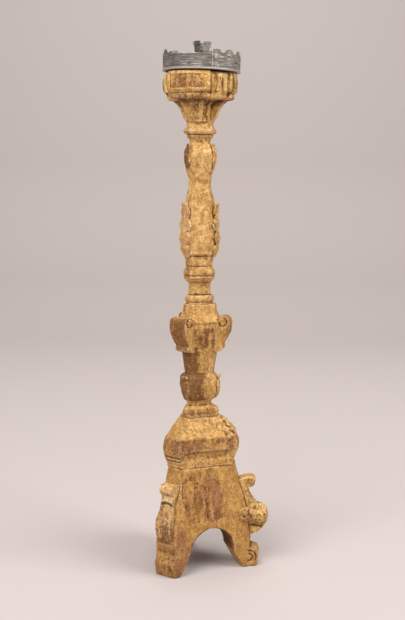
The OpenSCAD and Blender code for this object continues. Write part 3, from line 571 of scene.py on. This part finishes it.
def scarred_plate(places, outward):
    """Marks on the broken console: gouged lobe, lip under it and a rough, split plate."""
    out, across, z = along(places, BROKEN_LEG)
    front = facing(outward, BROKEN_LEG, 0.2, 0.6)
    lobe = ramp(z, LOBE_Z, LOBE_Z + 3)
    strokes = np.cos(across * 2 * math.pi / 3.4 + lumps(places, 9, 31))
    lip = 0.9 * ridge(z, plate_lip(across) + 1.5, 2.5) - 1.8 * ridge(z, plate_lip(across) - 3.5, 3.5)
    rough = np.abs(lumps(places, 6, 32)) + 0.6 * np.abs(lumps(places, 3.2, 33))
    split = ridge(across - 7 + 1.5 * np.sin(z / 9), 0, 1.2) * between(z, 66, 112, 6)
    depth = hand_work(places, 20, 1.1) + (0.35 * lobe * strokes + lip - 1.2 * split) * front
    return depth + (1 - lobe) * (1.2 * rough - 0.5) + worm_holes(places, 34, 9.0, 0.3)


def plate_bare(places, outward):
    """Bare wood under the lobe, most at the foot of the plate."""
    z = places[:, 2]
    low = ramp(100 - z, 0, 35) * (0.45 + 0.4 * lumps(places, 12, 38))
    return low + 0.36 * ramp(LOBE_Z - z, 0, 8) - 0.3 * ramp(z, LOBE_Z - 1, LOBE_Z + 3)


def plate_lip_shadow(places, outward):
    """Painted shadow under the lip."""
    out, across, z = along(places, BROKEN_LEG)
    return 0.9 * ridge(z, plate_lip(across) - 3, 4) * facing(outward, BROKEN_LEG, 0.2, 0.6)


def cuff_pits(places, seed):
    """Mask of holes punched between the lobes of a cuff."""
    return pits(bent(places, 1.6, 3, seed) * [1, 1, 0.65], 4.4, 0.6, 0.46, 0.3, seed + 6)


def crumpled(points, spacing, height, fall, seed):
    """Depth of a crumpled leaf: a height at scattered spots, falling away from each."""
    nearest, _ = pocks(points, spacing, seed)
    return height - fall * nearest.clip(0, 0.8)


def acanthus_knee(places, outward, direction, seed):
    """Marks on a whole console: crumpled leaf under the curl, fluted and pitted cuff, smooth lip."""
    out, across, z = along(places, direction)
    leaf = between(z, CUFF_HIGH, 138, 5) * crumpled(places * [1, 1, 0.75], 6.2, 1.5, 3.2, seed + 3)
    round_nose = np.degrees(np.arctan2(across, out - KNEE_REACH))
    flutes = np.cos(round_nose * 2 * math.pi / 31) * ramp(out, 92, 102)
    cuff = between(z, CUFF_LOW, CUFF_HIGH, 4) * (1.1 * flutes - 2.2 * cuff_pits(places, seed) + 0.7)
    rim = between(z, 98, 104, 3) * np.abs(np.cos(round_nose * math.pi / 24))
    under = ridge(z, CUFF_LOW - 2, 4) * ramp(out, 90, 96)
    creases = np.cos(across * 2 * math.pi / 9) * ramp(CUFF_LOW - 2 - z, 0, 5)
    return hand_work(places, seed, 0.9) + leaf + cuff + rim - 1.3 * under + 0.45 * creases


def knee_bare(places, outward):
    """Bare wood on the curl, and a little on the leaf and the cuff."""
    z = places[:, 2]
    leaf_and_cuff = between(z, CUFF_LOW, 136, 4)
    return 0.25 * ramp(z, 140, 150) + 0.2 * leaf_and_cuff + 0.3 * lumps(places, 10, 39)


def knee_soil_and_shade(places, outward, seed):
    """Painted shade and dirt in the holes of the cuff, and painted shadow under it."""
    z = places[:, 2]
    holes = cuff_pits(places, seed) * between(z, CUFF_LOW, CUFF_HIGH + 2, 4)
    return 0.5 * holes + 0.5 * ridge(z, CUFF_LOW - 1, 4)


broken = carving_block("console_1", 0.0009)
carve(broken, scarred_plate)
mark_wear_and_light(broken, 40, plate_bare, plate_lip_shadow)
plate_gilding = gilded(
    "scarred_plate_gilding", wear=0.11, shade_and_soiling=0.38, gold=(0.86, 0.60, 0.31), dull_gold=(0.58, 0.32, 0.10)
)
finish_piece(broken, "console_1", plate_gilding)

knee_gilding = gilded(
    "knee_gilding", wear=0.06, shade_and_soiling=0.6, relief=1.0, gold=(0.84, 0.54, 0.18),
    dull_gold=(0.50, 0.26, 0.065)
)
for index, direction in enumerate(WHOLE_LEGS):
    node = f"console_{index + 2}"
    seed = 30 + 10 * index
    console = carving_block(node, 0.0009)
    carve(console, partial(acanthus_knee, direction=direction, seed=seed))
    mark_wear_and_light(console, 41 + index, knee_bare, partial(knee_soil_and_shade, seed=seed))
    finish_piece(console, node, knee_gilding)

# ---- Cap of the base ----
# A block of softwood is glued and dowelled between base and stem, and cut with a cushion over hollow coves
# and with hips up to the stem. The cushion shows upright gouge marks and brown patches, and the left hip is
# scored across.
CAP_TURN = -4


def corner_lines(places, outward):
    """Mask of two grooves under the cushion on each chamfered corner."""
    lines = 0
    for leg in LEG_DIRECTIONS:
        out, across, z = along(places, leg + CAP_TURN)
        block = ramp(19 - np.abs(across), 0, 3) * facing(outward, leg + CAP_TURN, 0.2, 0.6)
        lines = lines + block * (ridge(z, 205, 3) + ridge(z, 197.5, 2.4))
    return lines


def cap_cuts(places, outward):
    """Strokes on the cushion, grooves, bosses under the hip leaves and scores on the bare hip."""
    z = places[:, 2]
    round_stem = np.degrees(np.arctan2(places[:, 1], places[:, 0]))
    strokes = lumps(np.stack([round_stem * 0.9, z * 0.12, z * 0], axis=1), 2.6, 51)
    depth = hand_work(places, 50, 1.4) + 0.5 * between(z, 213, 236, 3) * strokes
    depth = depth - 2.0 * corner_lines(places, outward)
    bosses = crumpled(places, 8.0, 2.0, 4.6, 57)
    for leg in WHOLE_LEGS:
        out, across, z = along(places, leg + CAP_TURN)
        leafy = ramp(32 - np.abs(across), 0, 8) * between(z, 230, 264, 5) * ramp(out, 26, 34)
        depth = depth + leafy * bosses
    out, across, z = along(places, BROKEN_LEG + CAP_TURN)
    hip = ramp(out, 30, 36) * ramp(19 - np.abs(across), 0, 4) * ramp(z, 241, 244)
    scores = np.cos((z + 1.4 * lumps(places, 12, 53)) * 2 * math.pi / 4.7)
    return depth + 0.28 * hip * scores + worm_holes(places, 54)


def cap_bare(places, outward):
    """Bare wood in streaks on the cushion's broad faces and on its left corner."""
    worn = 0.05 + 0.12 * lumps(places, 16, 55)
    streaks = 0.4 * lumps(places * [1, 1, 0.3], 8, 56) + 0.2 * lumps(places, 5, 58)
    for direction in FACE_DIRECTIONS:
        out, across, z = along(places, direction + CAP_TURN)
        foot = 221 - 18 * ramp(-across, 30, 50)
        top = 233 + 5 * lumps(places, 13, 59)
        fade = 0.14 + 0.24 * ramp(20 - across, 0, 30) + 0.22 * ramp(z, 222, 236) + streaks
        worn = worn + facing(outward, direction + CAP_TURN, 0.4, 0.8) * between(z, foot, top, 8) * fade
    out, across, z = along(places, BROKEN_LEG + CAP_TURN)
    return worn + 0.3 * ramp(out, 55, 62) * between(z, 203, 232, 5)


cap = carving_block("base_cap", 0.0012, 4, "base_cap_block")
soften(cap, lambda places: between(places[:, 2], 192, 211, 3), 14)
carve(cap, cap_cuts)
# The grooves on the corners are darkened as painted shade.
mark_wear_and_light(cap, 52, cap_bare, lambda places, outward: 0.6 * corner_lines(places, outward))
cap_gilding = gilded("cap_gilding", wear=0.14, shade_and_soiling=0.25)
finish_piece(cap, "base_cap", cap_gilding)

# ---- Leaves ----
# Acanthus leaves are carved from thin slips of wood and glued over the corners: on two hips of the cap,
# clasping the knop, up the bulb and on the upper knop. Each has a midrib, lobes cut in from its edges and
# veins.
SHAFT_TURN = -14


def acanthus(places, outward, direction, foot, tip, half, lobes, strength):
    """Depth of a leaf's relief: midrib, rising lobes, deep clefts and fine veins."""
    out, across, z = along(places, direction)
    up = (z - foot) / (tip - foot)
    side = np.abs(across) / half
    lobe = up * lobes - 0.5 * side
    part = lobe - np.floor(lobe)
    cleft = ramp(0.16 - np.minimum(part, 1 - part), 0, 0.14) * ramp(side, 0.25, 0.6)
    swell = np.sin(math.pi * part) * ramp(side, 0.15, 0.7)
    cup = ridge(side, 0.55, 0.28) * np.sin(math.pi * part)
    veins = np.cos(part * 3 * 2 * math.pi) * ramp(side, 0.2, 0.5)
    rib = ridge(side, 0, 0.16) - 0.9 * ridge(side, 0.26, 0.14)
    front = facing(outward, direction, -0.2, 0.4)
    relief = front * (1.0 * swell - 1.1 * cup + 0.3 * veins + 0.7 * rib) - 2.6 * cleft
    return strength * relief * ramp(up, 0.02, 0.1) * ramp(1.02 - up, 0, 0.08)


def curled_lobes(places, direction):
    """Mask of the hollows where a bulb leaf's lobes curl away."""
    out, across, z = along(places, direction)
    hollows = 0
    for height in (612, 582):
        curl = np.hypot(np.abs(across) - 5, (z - height) * 0.75)
        hollows = hollows + ridge(curl, 8.2, 2.8) * ramp(np.abs(across), 5, 8)
    return hollows * ramp(out, 18, 22)


leaf_gilding = gilded("leaf_gilding", wear=0.10, shade_and_soiling=0.5)
brown_leaf_gilding = gilded(
    "rubbed_leaf_gilding", wear=0.26, shade_and_soiling=0.4, wood=(0.13, 0.048, 0.014), bole=(0.19, 0.075, 0.030)
)
pale_leaf_gilding = gilded(
    "pale_leaf_gilding", wear=0.08, shade_and_soiling=0.4, gold=(0.80, 0.52, 0.26), wood=(0.30, 0.13, 0.05),
    bole=(0.42, 0.21, 0.11)
)


def carved_leaf(family, corner, turn, foot, tip, half, lobes, strength):
    """Carves and gilds one leaf; those over the broken leg are rubbed flatter."""
    node = f"{family}_{corner + 1}"
    direction = LEG_DIRECTIONS[corner] + turn
    rubbed = corner == 0
    curls = family == "bulb_leaf"

    def cuts(places, outward):
        depth = hand_work(places, 60 + corner, 0.7)
        relief_share = 0.5 if rubbed else 1.0
        depth = depth + acanthus(places, outward, direction, foot, tip, half, lobes, strength * relief_share)
        if curls:
            return depth - 1.8 * curled_lobes(places, direction) * (0.3 if rubbed else 1.0)
        if family == "hip_leaf":
            return depth + crumpled(places, 6.0, 1.5, 3.4, 64 + corner)
        return depth

    # Painted shade in the hollows where the lobes curl away.
    def soil_and_shade(places, outward):
        return 0.7 * curled_lobes(places, direction)

    def bare_and_painted_light(places, outward):
        out, across, z = along(places, direction)
        middle = ramp(half * 0.8 - np.abs(across), 0, 3) * facing(outward, direction, 0.3, 0.8)
        brown = 0.05
        if rubbed:
            brown = 0.25 if curls else 0.5
        return middle * brown + 0.12 * lumps(places, 9, 65)

    leaf = carving_block(node, 0.0007, 2)
    carve(leaf, cuts)
    mark_wear_and_light(leaf, 61 + corner, bare_and_painted_light, soil_and_shade if curls and not rubbed else None, chips=0.6)
    look = leaf_gilding
    if rubbed:
        look = pale_leaf_gilding if curls else brown_leaf_gilding
    finish_piece(leaf, node, look)


# Each run of leaves: its corners, the turn of what it lies on, foot, tip, half width, lobes and strength.
leaf_runs = (
    ("hip_leaf", (1, 2), CAP_TURN, 241, 267, 14, 3, 0.8),
    ("knop_leaf", (0, 1, 2), CAP_TURN, 300.5, 339.5, 9.5, 1, 0.3),
    ("bulb_leaf", (0, 1, 2), SHAFT_TURN, 549.5, 639.5, 16, 3, 0.5),
    ("upper_leaf", (0, 1, 2), SHAFT_TURN, 700.5, 740.5, 9.5, 2, 0.5),
)
for family, corners, *form in leaf_runs:
    for corner in corners:
        carved_leaf(family, corner, *form)

# ---- Lower baluster ----
# One block of softwood, turned and then carved, stands on the cap and is dowelled at both ends: a collar, a
# narrow neck, a cup-shaped knop, a hollow neck and the vase, whose broad faces lean back under an eave.


def baluster_cuts(places, outward):
    """Hand work, worm holes and two turned lines round the collar."""
    z = places[:, 2]
    lines = (ridge(z, 276, 1.2) + ridge(z, 281, 1.2)) * ramp(np.hypot(places[:, 0], places[:, 1]), 22, 24)
    return hand_work(places, 70, 1.0) - 0.5 * lines + worm_holes(places, 73)


def baluster_bare_and_shade(places, outward):
    """Bare wood on the left of knop and neck, on the vase and on the collar; the brown on the neck's left
    side is partly painted shade.
    """
    out, across, z = along(places, FACE_DIRECTIONS[0] + CAP_TURN)
    ragged = 4 * lumps(places, 12, 74) + 2.5 * lumps(places, 4, 77)
    knop = between(z, 300, 346, 3) * (0.72 * ramp(3 + ragged - across, -7, 10) + 0.1)
    neck = between(z, 348, 392, 3) * (0.62 * ramp(-7 + ragged - across, -3, 6) + 0.14)
    vase = between(z, 394, 424, 5) * (0.45 + 0.25 * lumps(places, 10, 75))
    collar = between(z, 270, 283, 2) * 0.35
    return knop + neck + vase + collar


baluster = carving_block("lower_baluster", 0.0009, name="lower_baluster_block")
carve(baluster, baluster_cuts)
mark_wear_and_light(baluster, 71, baluster_bare_and_shade)
baluster_gilding = gilded(
    "baluster_gilding", wear=0.15, shade_and_soiling=0.42, wood=(0.155, 0.062, 0.019), bole=(0.215, 0.094, 0.040)
)
finish_piece(baluster, "lower_baluster", baluster_gilding)

# ---- Scrolls of the vase ----
# A scroll carved from wood is glued to each corner of the vase, with a volute at its head and a lip at its
# foot. Their fronts are rubbed down to brown wood.


def volute(places, outward, direction):
    """Mask of the spiral cut on the cheeks of a scroll, winding in to its eye."""
    eye_reach, eye_z, widest, narrowing = 44, 437, 10.4, 5.4
    out, across, z = along(places, direction)
    cheeks = facing(outward, direction + 90, 0.5, 0.85) + facing(outward, direction - 90, 0.5, 0.85)
    turned = (180 - np.degrees(np.arctan2(z - eye_z, out - eye_reach))) % 360 / 360
    return cheeks * ridge(np.hypot(out - eye_reach, z - eye_z), widest - narrowing * turned, 3.0)


def scroll_cuts(places, outward, direction, seed):
    """Hand work, a reed down the front and the spirals."""
    out, across, z = along(places, direction)
    reed = facing(outward, direction, 0.3, 0.8) * ridge(across, 3.0, 2.2)
    return hand_work(places, seed, 1.0) - 0.5 * reed - 2.5 * volute(places, outward, direction)


def scroll_bare(places, outward, direction, front_share, head_share):
    """Bare wood down the front and over the head."""
    z = places[:, 2]
    front = facing(outward, direction, 0.2, 0.7) * ramp(z, 388, 394)
    return front_share * front + head_share * ramp(z, 395, 420)


scroll_gilding = gilded("scroll_gilding", wear=0.18, shade_and_soiling=0.2)
for index, leg in enumerate(LEG_DIRECTIONS):
    node = f"vase_scroll_{index + 1}"
    direction = leg + CAP_TURN
    front_share, head_share = (0.62, 0.1) if leg == BROKEN_LEG else (0.2, 0.32)
    scroll = carving_block(node, 0.0009)
    carve(scroll, partial(scroll_cuts, direction=direction, seed=75 + index))
    bare_and_painted_light = partial(scroll_bare, direction=direction, front_share=front_share, head_share=head_share)
    # The spiral groove is darkened a little as painted shade.
    mark_wear_and_light(scroll, 76 + index, bare_and_painted_light, lambda places, outward: 0.25 * volute(places, outward, direction))
    finish_piece(scroll, node, scroll_gilding)

# ---- Upper shaft ----
# The long shaft is turned and carved from one piece of wood: collar, neck, ring, bulb with its long taper,
# upper knop and the collar that carries the capital. It keeps the most gold, and a knot shows in its neck.


def shaft_cuts(places, outward):
    """Hand work, grooves and swells of the turned mouldings, and a ring round the knot."""
    out, across, z = along(places, FACE_DIRECTIONS[0] + SHAFT_TURN)
    knot_across, knot_z, knot_radius = 6, 503, 3.2
    knot = ridge(np.hypot(across - knot_across, z - knot_z), knot_radius, 1.0) * ramp(out, 8, 12)
    depth = hand_work(places, 80, 1.05) - 1.0 * knot
    for height, width, cut in (
        (769.5, 1.8, 1.2), (757.5, 2.4, 2.2), (551, 2.4, 1.8), (534, 2.0, 1.2), (517.5, 2.2, 1.9),
        (485, 2.0, 1.5), (471.5, 2.0, 1.5),
    ):
        depth = depth - cut * ridge(z, height, width)
    for height, width, swell in ((764, 6, 1.5), (525, 7, 1.1), (478, 6, 1.1), (556, 4, 0.9)):
        depth = depth + swell * ridge(z, height, width)
    return depth - 1.1 * between(z, 771, 778, 1) + worm_holes(places, 83)


def shaft_bare(places, outward):
    """Bare wood below the bulb, at its foot, in streaks and on the left of the upper knop."""
    out, across, z = along(places, FACE_DIRECTIONS[0] + SHAFT_TURN)
    low = ramp(548 - z, 0, 20) * (0.26 + 0.3 * lumps(places, 12, 84))
    foot = ridge(across, -3, 8) * between(z, 551, 566, 5) * ramp(out, 10, 18) * 0.5
    streak = 0.25 * lumps(places * [1, 1, 0.4], 8, 85)
    left = 0.3 * ramp(-across, 12, 17) * between(z, 690, 745, 6)
    return low + foot + streak + left


shaft = carving_block("upper_shaft", 0.0009, name="upper_shaft_block")
carve(shaft, shaft_cuts)
mark_wear_and_light(shaft, 81, shaft_bare)
shaft_gilding = gilded("shaft_gilding", wear=0.0, shade_and_soiling=0.42, gold=(0.76, 0.49, 0.185))
finish_piece(shaft, "upper_shaft", shaft_gilding)

# ---- Capital ----
# The capital is carved from one block and dowelled to the shaft. Three brackets carry three frieze panels
# over a ledge, and each panel's field is sunk and rubbed brown inside a golden border. Tongues are glued
# into the gaps from one panel to the next, and sprigs between the brackets.
PANEL_DIRECTION = 225
FIELD_HALF_ANGLE = 30
FIELD_LOW, FIELD_HIGH = 834, 855
GAP_DIRECTIONS = [leg + 75 for leg in LEG_DIRECTIONS]


def off_panel(places):
    """Angle from the middle of the nearest panel."""
    turn = np.degrees(np.arctan2(places[:, 1], places[:, 0]))
    return np.abs((turn - PANEL_DIRECTION + 60) % 120 - 60)


def capital_cuts(places, outward):
    """Hand work, fine lines along the panels' fields, a ragged ledge and worm holes."""
    z = places[:, 2]
    field = ramp(FIELD_HALF_ANGLE - off_panel(places), 0, 1.5) * between(z, FIELD_LOW, FIELD_HIGH, 1)
    lines = np.cos((z + 0.8 * lumps(places, 14, 92)) * 2 * math.pi / 3.1)
    ragged = between(z, 812, 820, 3) * ramp(lumps(places, 5, 93), 0.1, 0.7)
    return hand_work(places, 90, 1.0) + 0.22 * field * lines - ragged + worm_holes(places, 94)


def capital_shadows(places, outward):
    """Painted shadow where each panel ends at its tongue, and under the ledge."""
    z = places[:, 2]
    gap = ridge(off_panel(places), 38, 5) * between(z, 824, 862, 3)
    return 0.8 * gap + 0.45 * between(z, 806, 815, 3)


def capital_bare_and_shade(places, outward):
    """Bare wood in the fields, on the ledge and down the brackets' fronts; the brown on the ledge is partly
    painted shade.
    """
    z = places[:, 2]
    off = off_panel(places)
    field = ramp(FIELD_HALF_ANGLE + 0.5 - off, 0, 1.5) * between(z, FIELD_LOW - 1, FIELD_HIGH + 1, 1)
    bracket = ramp(21 - off, 0, 4) * between(z, 783, 812, 4)
    bracket = bracket * ramp(np.hypot(places[:, 0], places[:, 1]), 24, 27)
    ledge = between(z, 811, 823, 1) * ramp(37 - off, 0, 3)
    patchy = 0.2 * lumps(places * [1, 1, 1.6], 11, 95)
    return (0.82 + patchy) * field + (0.5 + patchy) * bracket + (0.7 + patchy) * ledge


def slit(places, direction):
    """Mask of the slanting slit in a tongue."""
    low, high = 829, 850
    out, across, z = along(places, direction)
    return ridge(across, -6 + 0.32 * (high - z), 1.8) * between(z, low, high, 2)


capital = carving_block("capital", 0.0011, name="capital_block")
carve(capital, capital_cuts)
mark_wear_and_light(capital, 91, capital_bare_and_shade, capital_shadows, chips=0.5)
capital_gilding = gilded(
    "capital_gilding", wear=-0.04, shade_and_soiling=0.4, gold=(0.84, 0.54, 0.195), dull_gold=(0.54, 0.285, 0.078),
    gesso=(0.78, 0.56, 0.29), wood=(0.165, 0.056, 0.015), bole=(0.255, 0.092, 0.034)
)
tongue_gilding = gilded(
    "tongue_gilding", wear=-0.16, shade_and_soiling=0.35, relief=0.4, gold=(0.90, 0.62, 0.27),
    dull_gold=(0.66, 0.38, 0.12)
)
finish_piece(capital, "capital", capital_gilding)

for corner, direction in enumerate(GAP_DIRECTIONS):
    node = f"capital_tongue_{corner + 1}"
    tongue = carving_block(node, 0.0007, 2)
    carve(tongue, lambda places, outward: hand_work(places, 96 + corner, 0.6) - 2.4 * slit(places, direction))
    # The slit is darkened as painted shade.
    mark_wear_and_light(tongue, 97 + corner, soil_and_shade=lambda places, outward: 0.9 * slit(places, direction), chips=0.5)
    finish_piece(tongue, node, tongue_gilding)

    node = f"capital_sprig_{corner + 1}"
    sprig = carving_block(node, 0.0007, 2)
    carve(sprig, lambda places, outward: hand_work(places, 96 + corner, 0.6)
          + acanthus(places, outward, direction, foot=782.5, tip=811.5, half=4, lobes=2, strength=0.5))
    mark_wear_and_light(sprig, 97 + corner, chips=0.5)
    finish_piece(sprig, node, capital_gilding)

# ---- Dowels ----
# Plain turned dowels join base, stem and capital. They are glued in and out of sight, so their solids stay
# as they are and get a bare wood finish.
dowel_wood = gilded("dowel_wood", wear=1.2, shade_and_soiling=0.3)
for node in ("base_dowel", "stem_dowel", "capital_dowel"):
    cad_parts[node].data.materials.clear()
    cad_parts[node].data.materials.append(dowel_wood)

# ---- Drip pan ----
# The pan is soldered up from thin grey sheet: a flat floor with a rolled bead, a band with engraved lines
# and a pierced crown, a nozzle cut into petals, and a forged tang riveted through the floor.
PAN_LEAN = math.radians(1.4)
PAN_LOW_SIDE = math.radians(-24)
PAN_SHIFT, PAN_Z = 2.5, 863.14
PAN_CENTRE = np.array([PAN_SHIFT * math.cos(PAN_LOW_SIDE), PAN_SHIFT * math.sin(PAN_LOW_SIDE), PAN_Z])
SEAM = 261.7


def on_pan(places):
    """Distance from the pan's axis, direction round it in degrees and height."""
    side = (places - PAN_CENTRE) @ [math.cos(PAN_LOW_SIDE), math.sin(PAN_LOW_SIDE), 0]
    lift = places[:, 2] - PAN_CENTRE[2] + side * math.sin(PAN_LEAN)
    east, north = places[:, 0] - PAN_CENTRE[0], places[:, 1] - PAN_CENTRE[1]
    return np.hypot(east, north), np.degrees(np.arctan2(north, east)) % 360, lift


def beaten_sheet():
    """Node group: dull tinned sheet with a grey bloom, drawn lines, painted highlights on proud and marked
    places, and hollows darkened partly by oxide and partly as painted shade.
    """
    tones = {"Metal": (0.34, 0.33, 0.31, 1), "Bloom": (0.15, 0.145, 0.135, 1)}
    group, given, result = finish_group("beaten_sheet", tones, ("Color", "Roughness", "Height"))
    place = add(group, "ShaderNodeTexCoord").outputs["Object"]
    lines = grain(group, stretched(group, place, (0.12, 0.12, 1.0)), 520, 2, 0.5)
    cloud = grain(group, place, 60, 4, 0.6)
    fine = grain(group, place, 650, 2, 0.5)
    proud, hollow, bare_and_painted_light = wear_and_light_masks(group)
    # The brighter metal is partly painted highlight, from the proud places and the marked bright places.
    shine = weighed(group, (lines, 0.7), (cloud, 0.25), (fine, 0.4), (bare_and_painted_light, 0.7), (proud, 0.35), -0.23)
    bright = soft_step(group, shine, 0.38, 0.80)
    colour = blend_colour(group, bright, given["Bloom"], given["Metal"])
    # Hollows and the nozzle's left side turn dark: oxide, and painted shade.
    tarnish_and_shade = soft_step(group, weighed(group, (hollow, 1.0), (cloud, 0.5)), 0.55, 1.1)
    colour = blend_colour(group, tarnish_and_shade, colour, (0.035, 0.030, 0.026, 1), 0.8)
    group.links.new(colour, result["Color"])
    group.links.new(weighed(group, (bright, -0.16), 0.66), result["Roughness"])
    group.links.new(weighed(group, (lines, 0.6), (fine, 0.35), (cloud, 0.8)), result["Height"])
    return group


SHEET_METAL = beaten_sheet()


def tarnished(name, metal, bloom):
    """A material of beaten sheet, with its own two tones."""
    material, shader, sheet = dressed(name, SHEET_METAL, 0.45, 0.0006)
    sheet.inputs["Metal"].default_value = (*metal, 1)
    sheet.inputs["Bloom"].default_value = (*bloom, 1)
    shader.inputs["Metallic"].default_value = 0.5
    return material


def band_cuts(places, outward):
    """Dents over the bead, and on the outside four engraved lines and the raised seam."""
    reach, turn, lift = on_pan(places)
    from_axis = outward[:, 0] * np.cos(np.radians(turn)) + outward[:, 1] * np.sin(np.radians(turn))
    dents = 0.45 * lumps(places, 17, 110) + 0.2 * lumps(places, 6, 111)
    lines = sum(ridge(lift, height, 0.8) for height in (8.5, 11.5, 16.0, 21.5))
    marks = 0.35 * ridge(turn, SEAM, 1.0) - 0.3 * lines
    return dents * ramp(lift, 4, 10) + marks * ramp(from_axis, 0.3, 0.7)


def nozzle_cuts(places, outward):
    """Petals bent out of line, more towards their tips."""
    reach, turn, lift = on_pan(places)
    return (0.8 * lumps(places, 8, 112) + 0.45 * lumps(places, 3.5, 113)) * ramp(lift, 20, 36)


def floor_cuts(places, outward):
    """Slight beating marks between the nozzle and the bead."""
    reach, turn, lift = on_pan(places)
    return 0.16 * lumps(places, 15, 114) * ramp(60 - reach, 0, 8) * ramp(reach, 5, 10)


def pan_nozzle_shade(places, outward):
    """Painted shade on the left of the nozzle."""
    reach, turn, lift = on_pan(places)
    return 0.5 * between(turn, 170, 252, 8) * ramp(40 - reach, 0, 5) * ramp(lift, 6, 12)


def pan_highlights(places, outward):
    """Painted highlights on the bead, the seam, the right of the band and the right-hand petal, and a little
    brightness that varies at random.
    """
    reach, turn, lift = on_pan(places)
    right = between(turn, 268, 330, 8) * ramp(lift, 2, 6)
    petal = between(turn, 262, 330, 10) * ramp(40 - reach, 0, 5) * ramp(lift, 34, 38)
    rim = (1.1 * ramp(4.5 - lift, 0, 2) + 0.25 * ridge(turn, SEAM, 1.2)) * ramp(reach, 62, 64)
    return 0.12 * right + petal + rim + 0.12 * lumps(places, 9, 115)


pan_metal = tarnished("dull_tinned_sheet", (0.47, 0.42, 0.365), (0.125, 0.112, 0.098))
tang_iron = tarnished("forged_iron", (0.13, 0.12, 0.11), (0.05, 0.045, 0.04))
for node, voxel, cuts in (
    ("pan_floor", 0.0007, floor_cuts),
    ("gallery_band", 0.0006, band_cuts),
    ("nozzle", 0.0005, nozzle_cuts),
):
    sheet_part = carving_block(node, voxel, 1, f"beaten_{node}")
    carve(sheet_part, cuts)
    mark_wear_and_light(sheet_part, 116, pan_highlights, pan_nozzle_shade, chips=0)
    finish_piece(sheet_part, node, pan_metal, "drip_pan")
tang = carving_block("pan_tang", 0.0005, 1, "forged_pan_tang")
carve(tang, lambda places, outward: 0.12 * lumps(places, 4, 117))
mark_wear_and_light(tang, 118, chips=0)
finish_piece(tang, "pan_tang", tang_iron, "drip_pan")

# ---- Studio ----
# A pale sweep of paper runs from under the stand up behind it, square to the camera, which stands a little
# above the middle of the stand and looks slightly down on it.
CAMERA_TURN = -24
sweep = bmesh.new()
front_edge = [sweep.verts.new((-6, -5, 0)), sweep.verts.new((6, -5, 0))]
line = [sweep.edges.new(front_edge)]
for step in ((0, 7.5, 0), (0, 0.9, 0.15), (0, 0.6, 0.6), (0, 0.1, 4.5)):
    grown = bmesh.ops.extrude_edge_only(sweep, edges=line)["geom"]
    bmesh.ops.translate(sweep, verts=[g for g in grown if isinstance(g, bmesh.types.BMVert)], vec=step)
    line = [g for g in grown if isinstance(g, bmesh.types.BMEdge)]
bmesh.ops.recalc_face_normals(sweep, faces=sweep.faces)
square_on = Matrix.Rotation(math.radians(CAMERA_TURN), 3, "Z")
bmesh.ops.rotate(sweep, verts=sweep.verts, cent=(0, 0, 0), matrix=square_on)
paper_mesh = bpy.data.meshes.new("paper_sweep")
sweep.to_mesh(paper_mesh)
sweep.free()
paper = bpy.data.objects.new("paper_sweep", paper_mesh)
scene.collection.objects.link(paper)
for face in paper_mesh.polygons:
    face.use_smooth = True
paper_look = bpy.data.materials.new("pale_paper")
paper_look.use_nodes = True
paper_shader = paper_look.node_tree.nodes["Principled BSDF"]
paper_shader.inputs["Base Color"].default_value = (0.57, 0.506, 0.484, 1)
paper_shader.inputs["Roughness"].default_value = 0.9
paper_shader.inputs["Specular IOR Level"].default_value = 0.1
paper_mesh.materials.append(paper_look)

# Two large soft lamps stand in front, to the right and to the left, a third lights the paper behind, and
# an even pale sky fills the shadows.
for title, spot, aim, size, power in (
    ("right softbox", (1.5, -1.7, 2.5), (0, 0.3, 0.3), 1.9, 66),
    ("left softbox", (-1.9, -1.2, 2.5), (0, 0.3, 0.3), 2.2, 80),
    ("backdrop softbox", (0.6, 1.0, 3.2), (1.3, 3.4, 0.9), 1.5, 42),
):
    lamp = bpy.data.lights.new(title, "AREA")
    lamp.shape = "SQUARE"
    lamp.size = size
    lamp.energy = power
    holder = bpy.data.objects.new(title, lamp)
    holder.location = spot
    holder.rotation_euler = (Vector(aim) - Vector(spot)).to_track_quat("-Z", "Y").to_euler()
    scene.collection.objects.link(holder)
world = bpy.data.worlds.new("pale sky")
world.use_nodes = True
world.node_tree.nodes["Background"].inputs["Color"].default_value = (1.0, 0.97, 0.95, 1)
world.node_tree.nodes["Background"].inputs["Strength"].default_value = 0.40
scene.world = world
scene.view_settings.view_transform = "Standard"

camera_distance, camera_height = 1.78425, 0.6908
tilt, roll, turn = 82.5, -0.3, CAMERA_TURN - 0.17
camera_data = bpy.data.cameras.new("camera")
camera_data.sensor_width = 36
camera_data.lens = 59.69
camera = bpy.data.objects.new("camera", camera_data)
heading = math.radians(CAMERA_TURN)
camera.location = (math.sin(heading) * camera_distance, -math.cos(heading) * camera_distance, camera_height)
camera.rotation_euler = (math.radians(tilt), math.radians(roll), math.radians(turn))
scene.collection.objects.link(camera)
scene.camera = camera
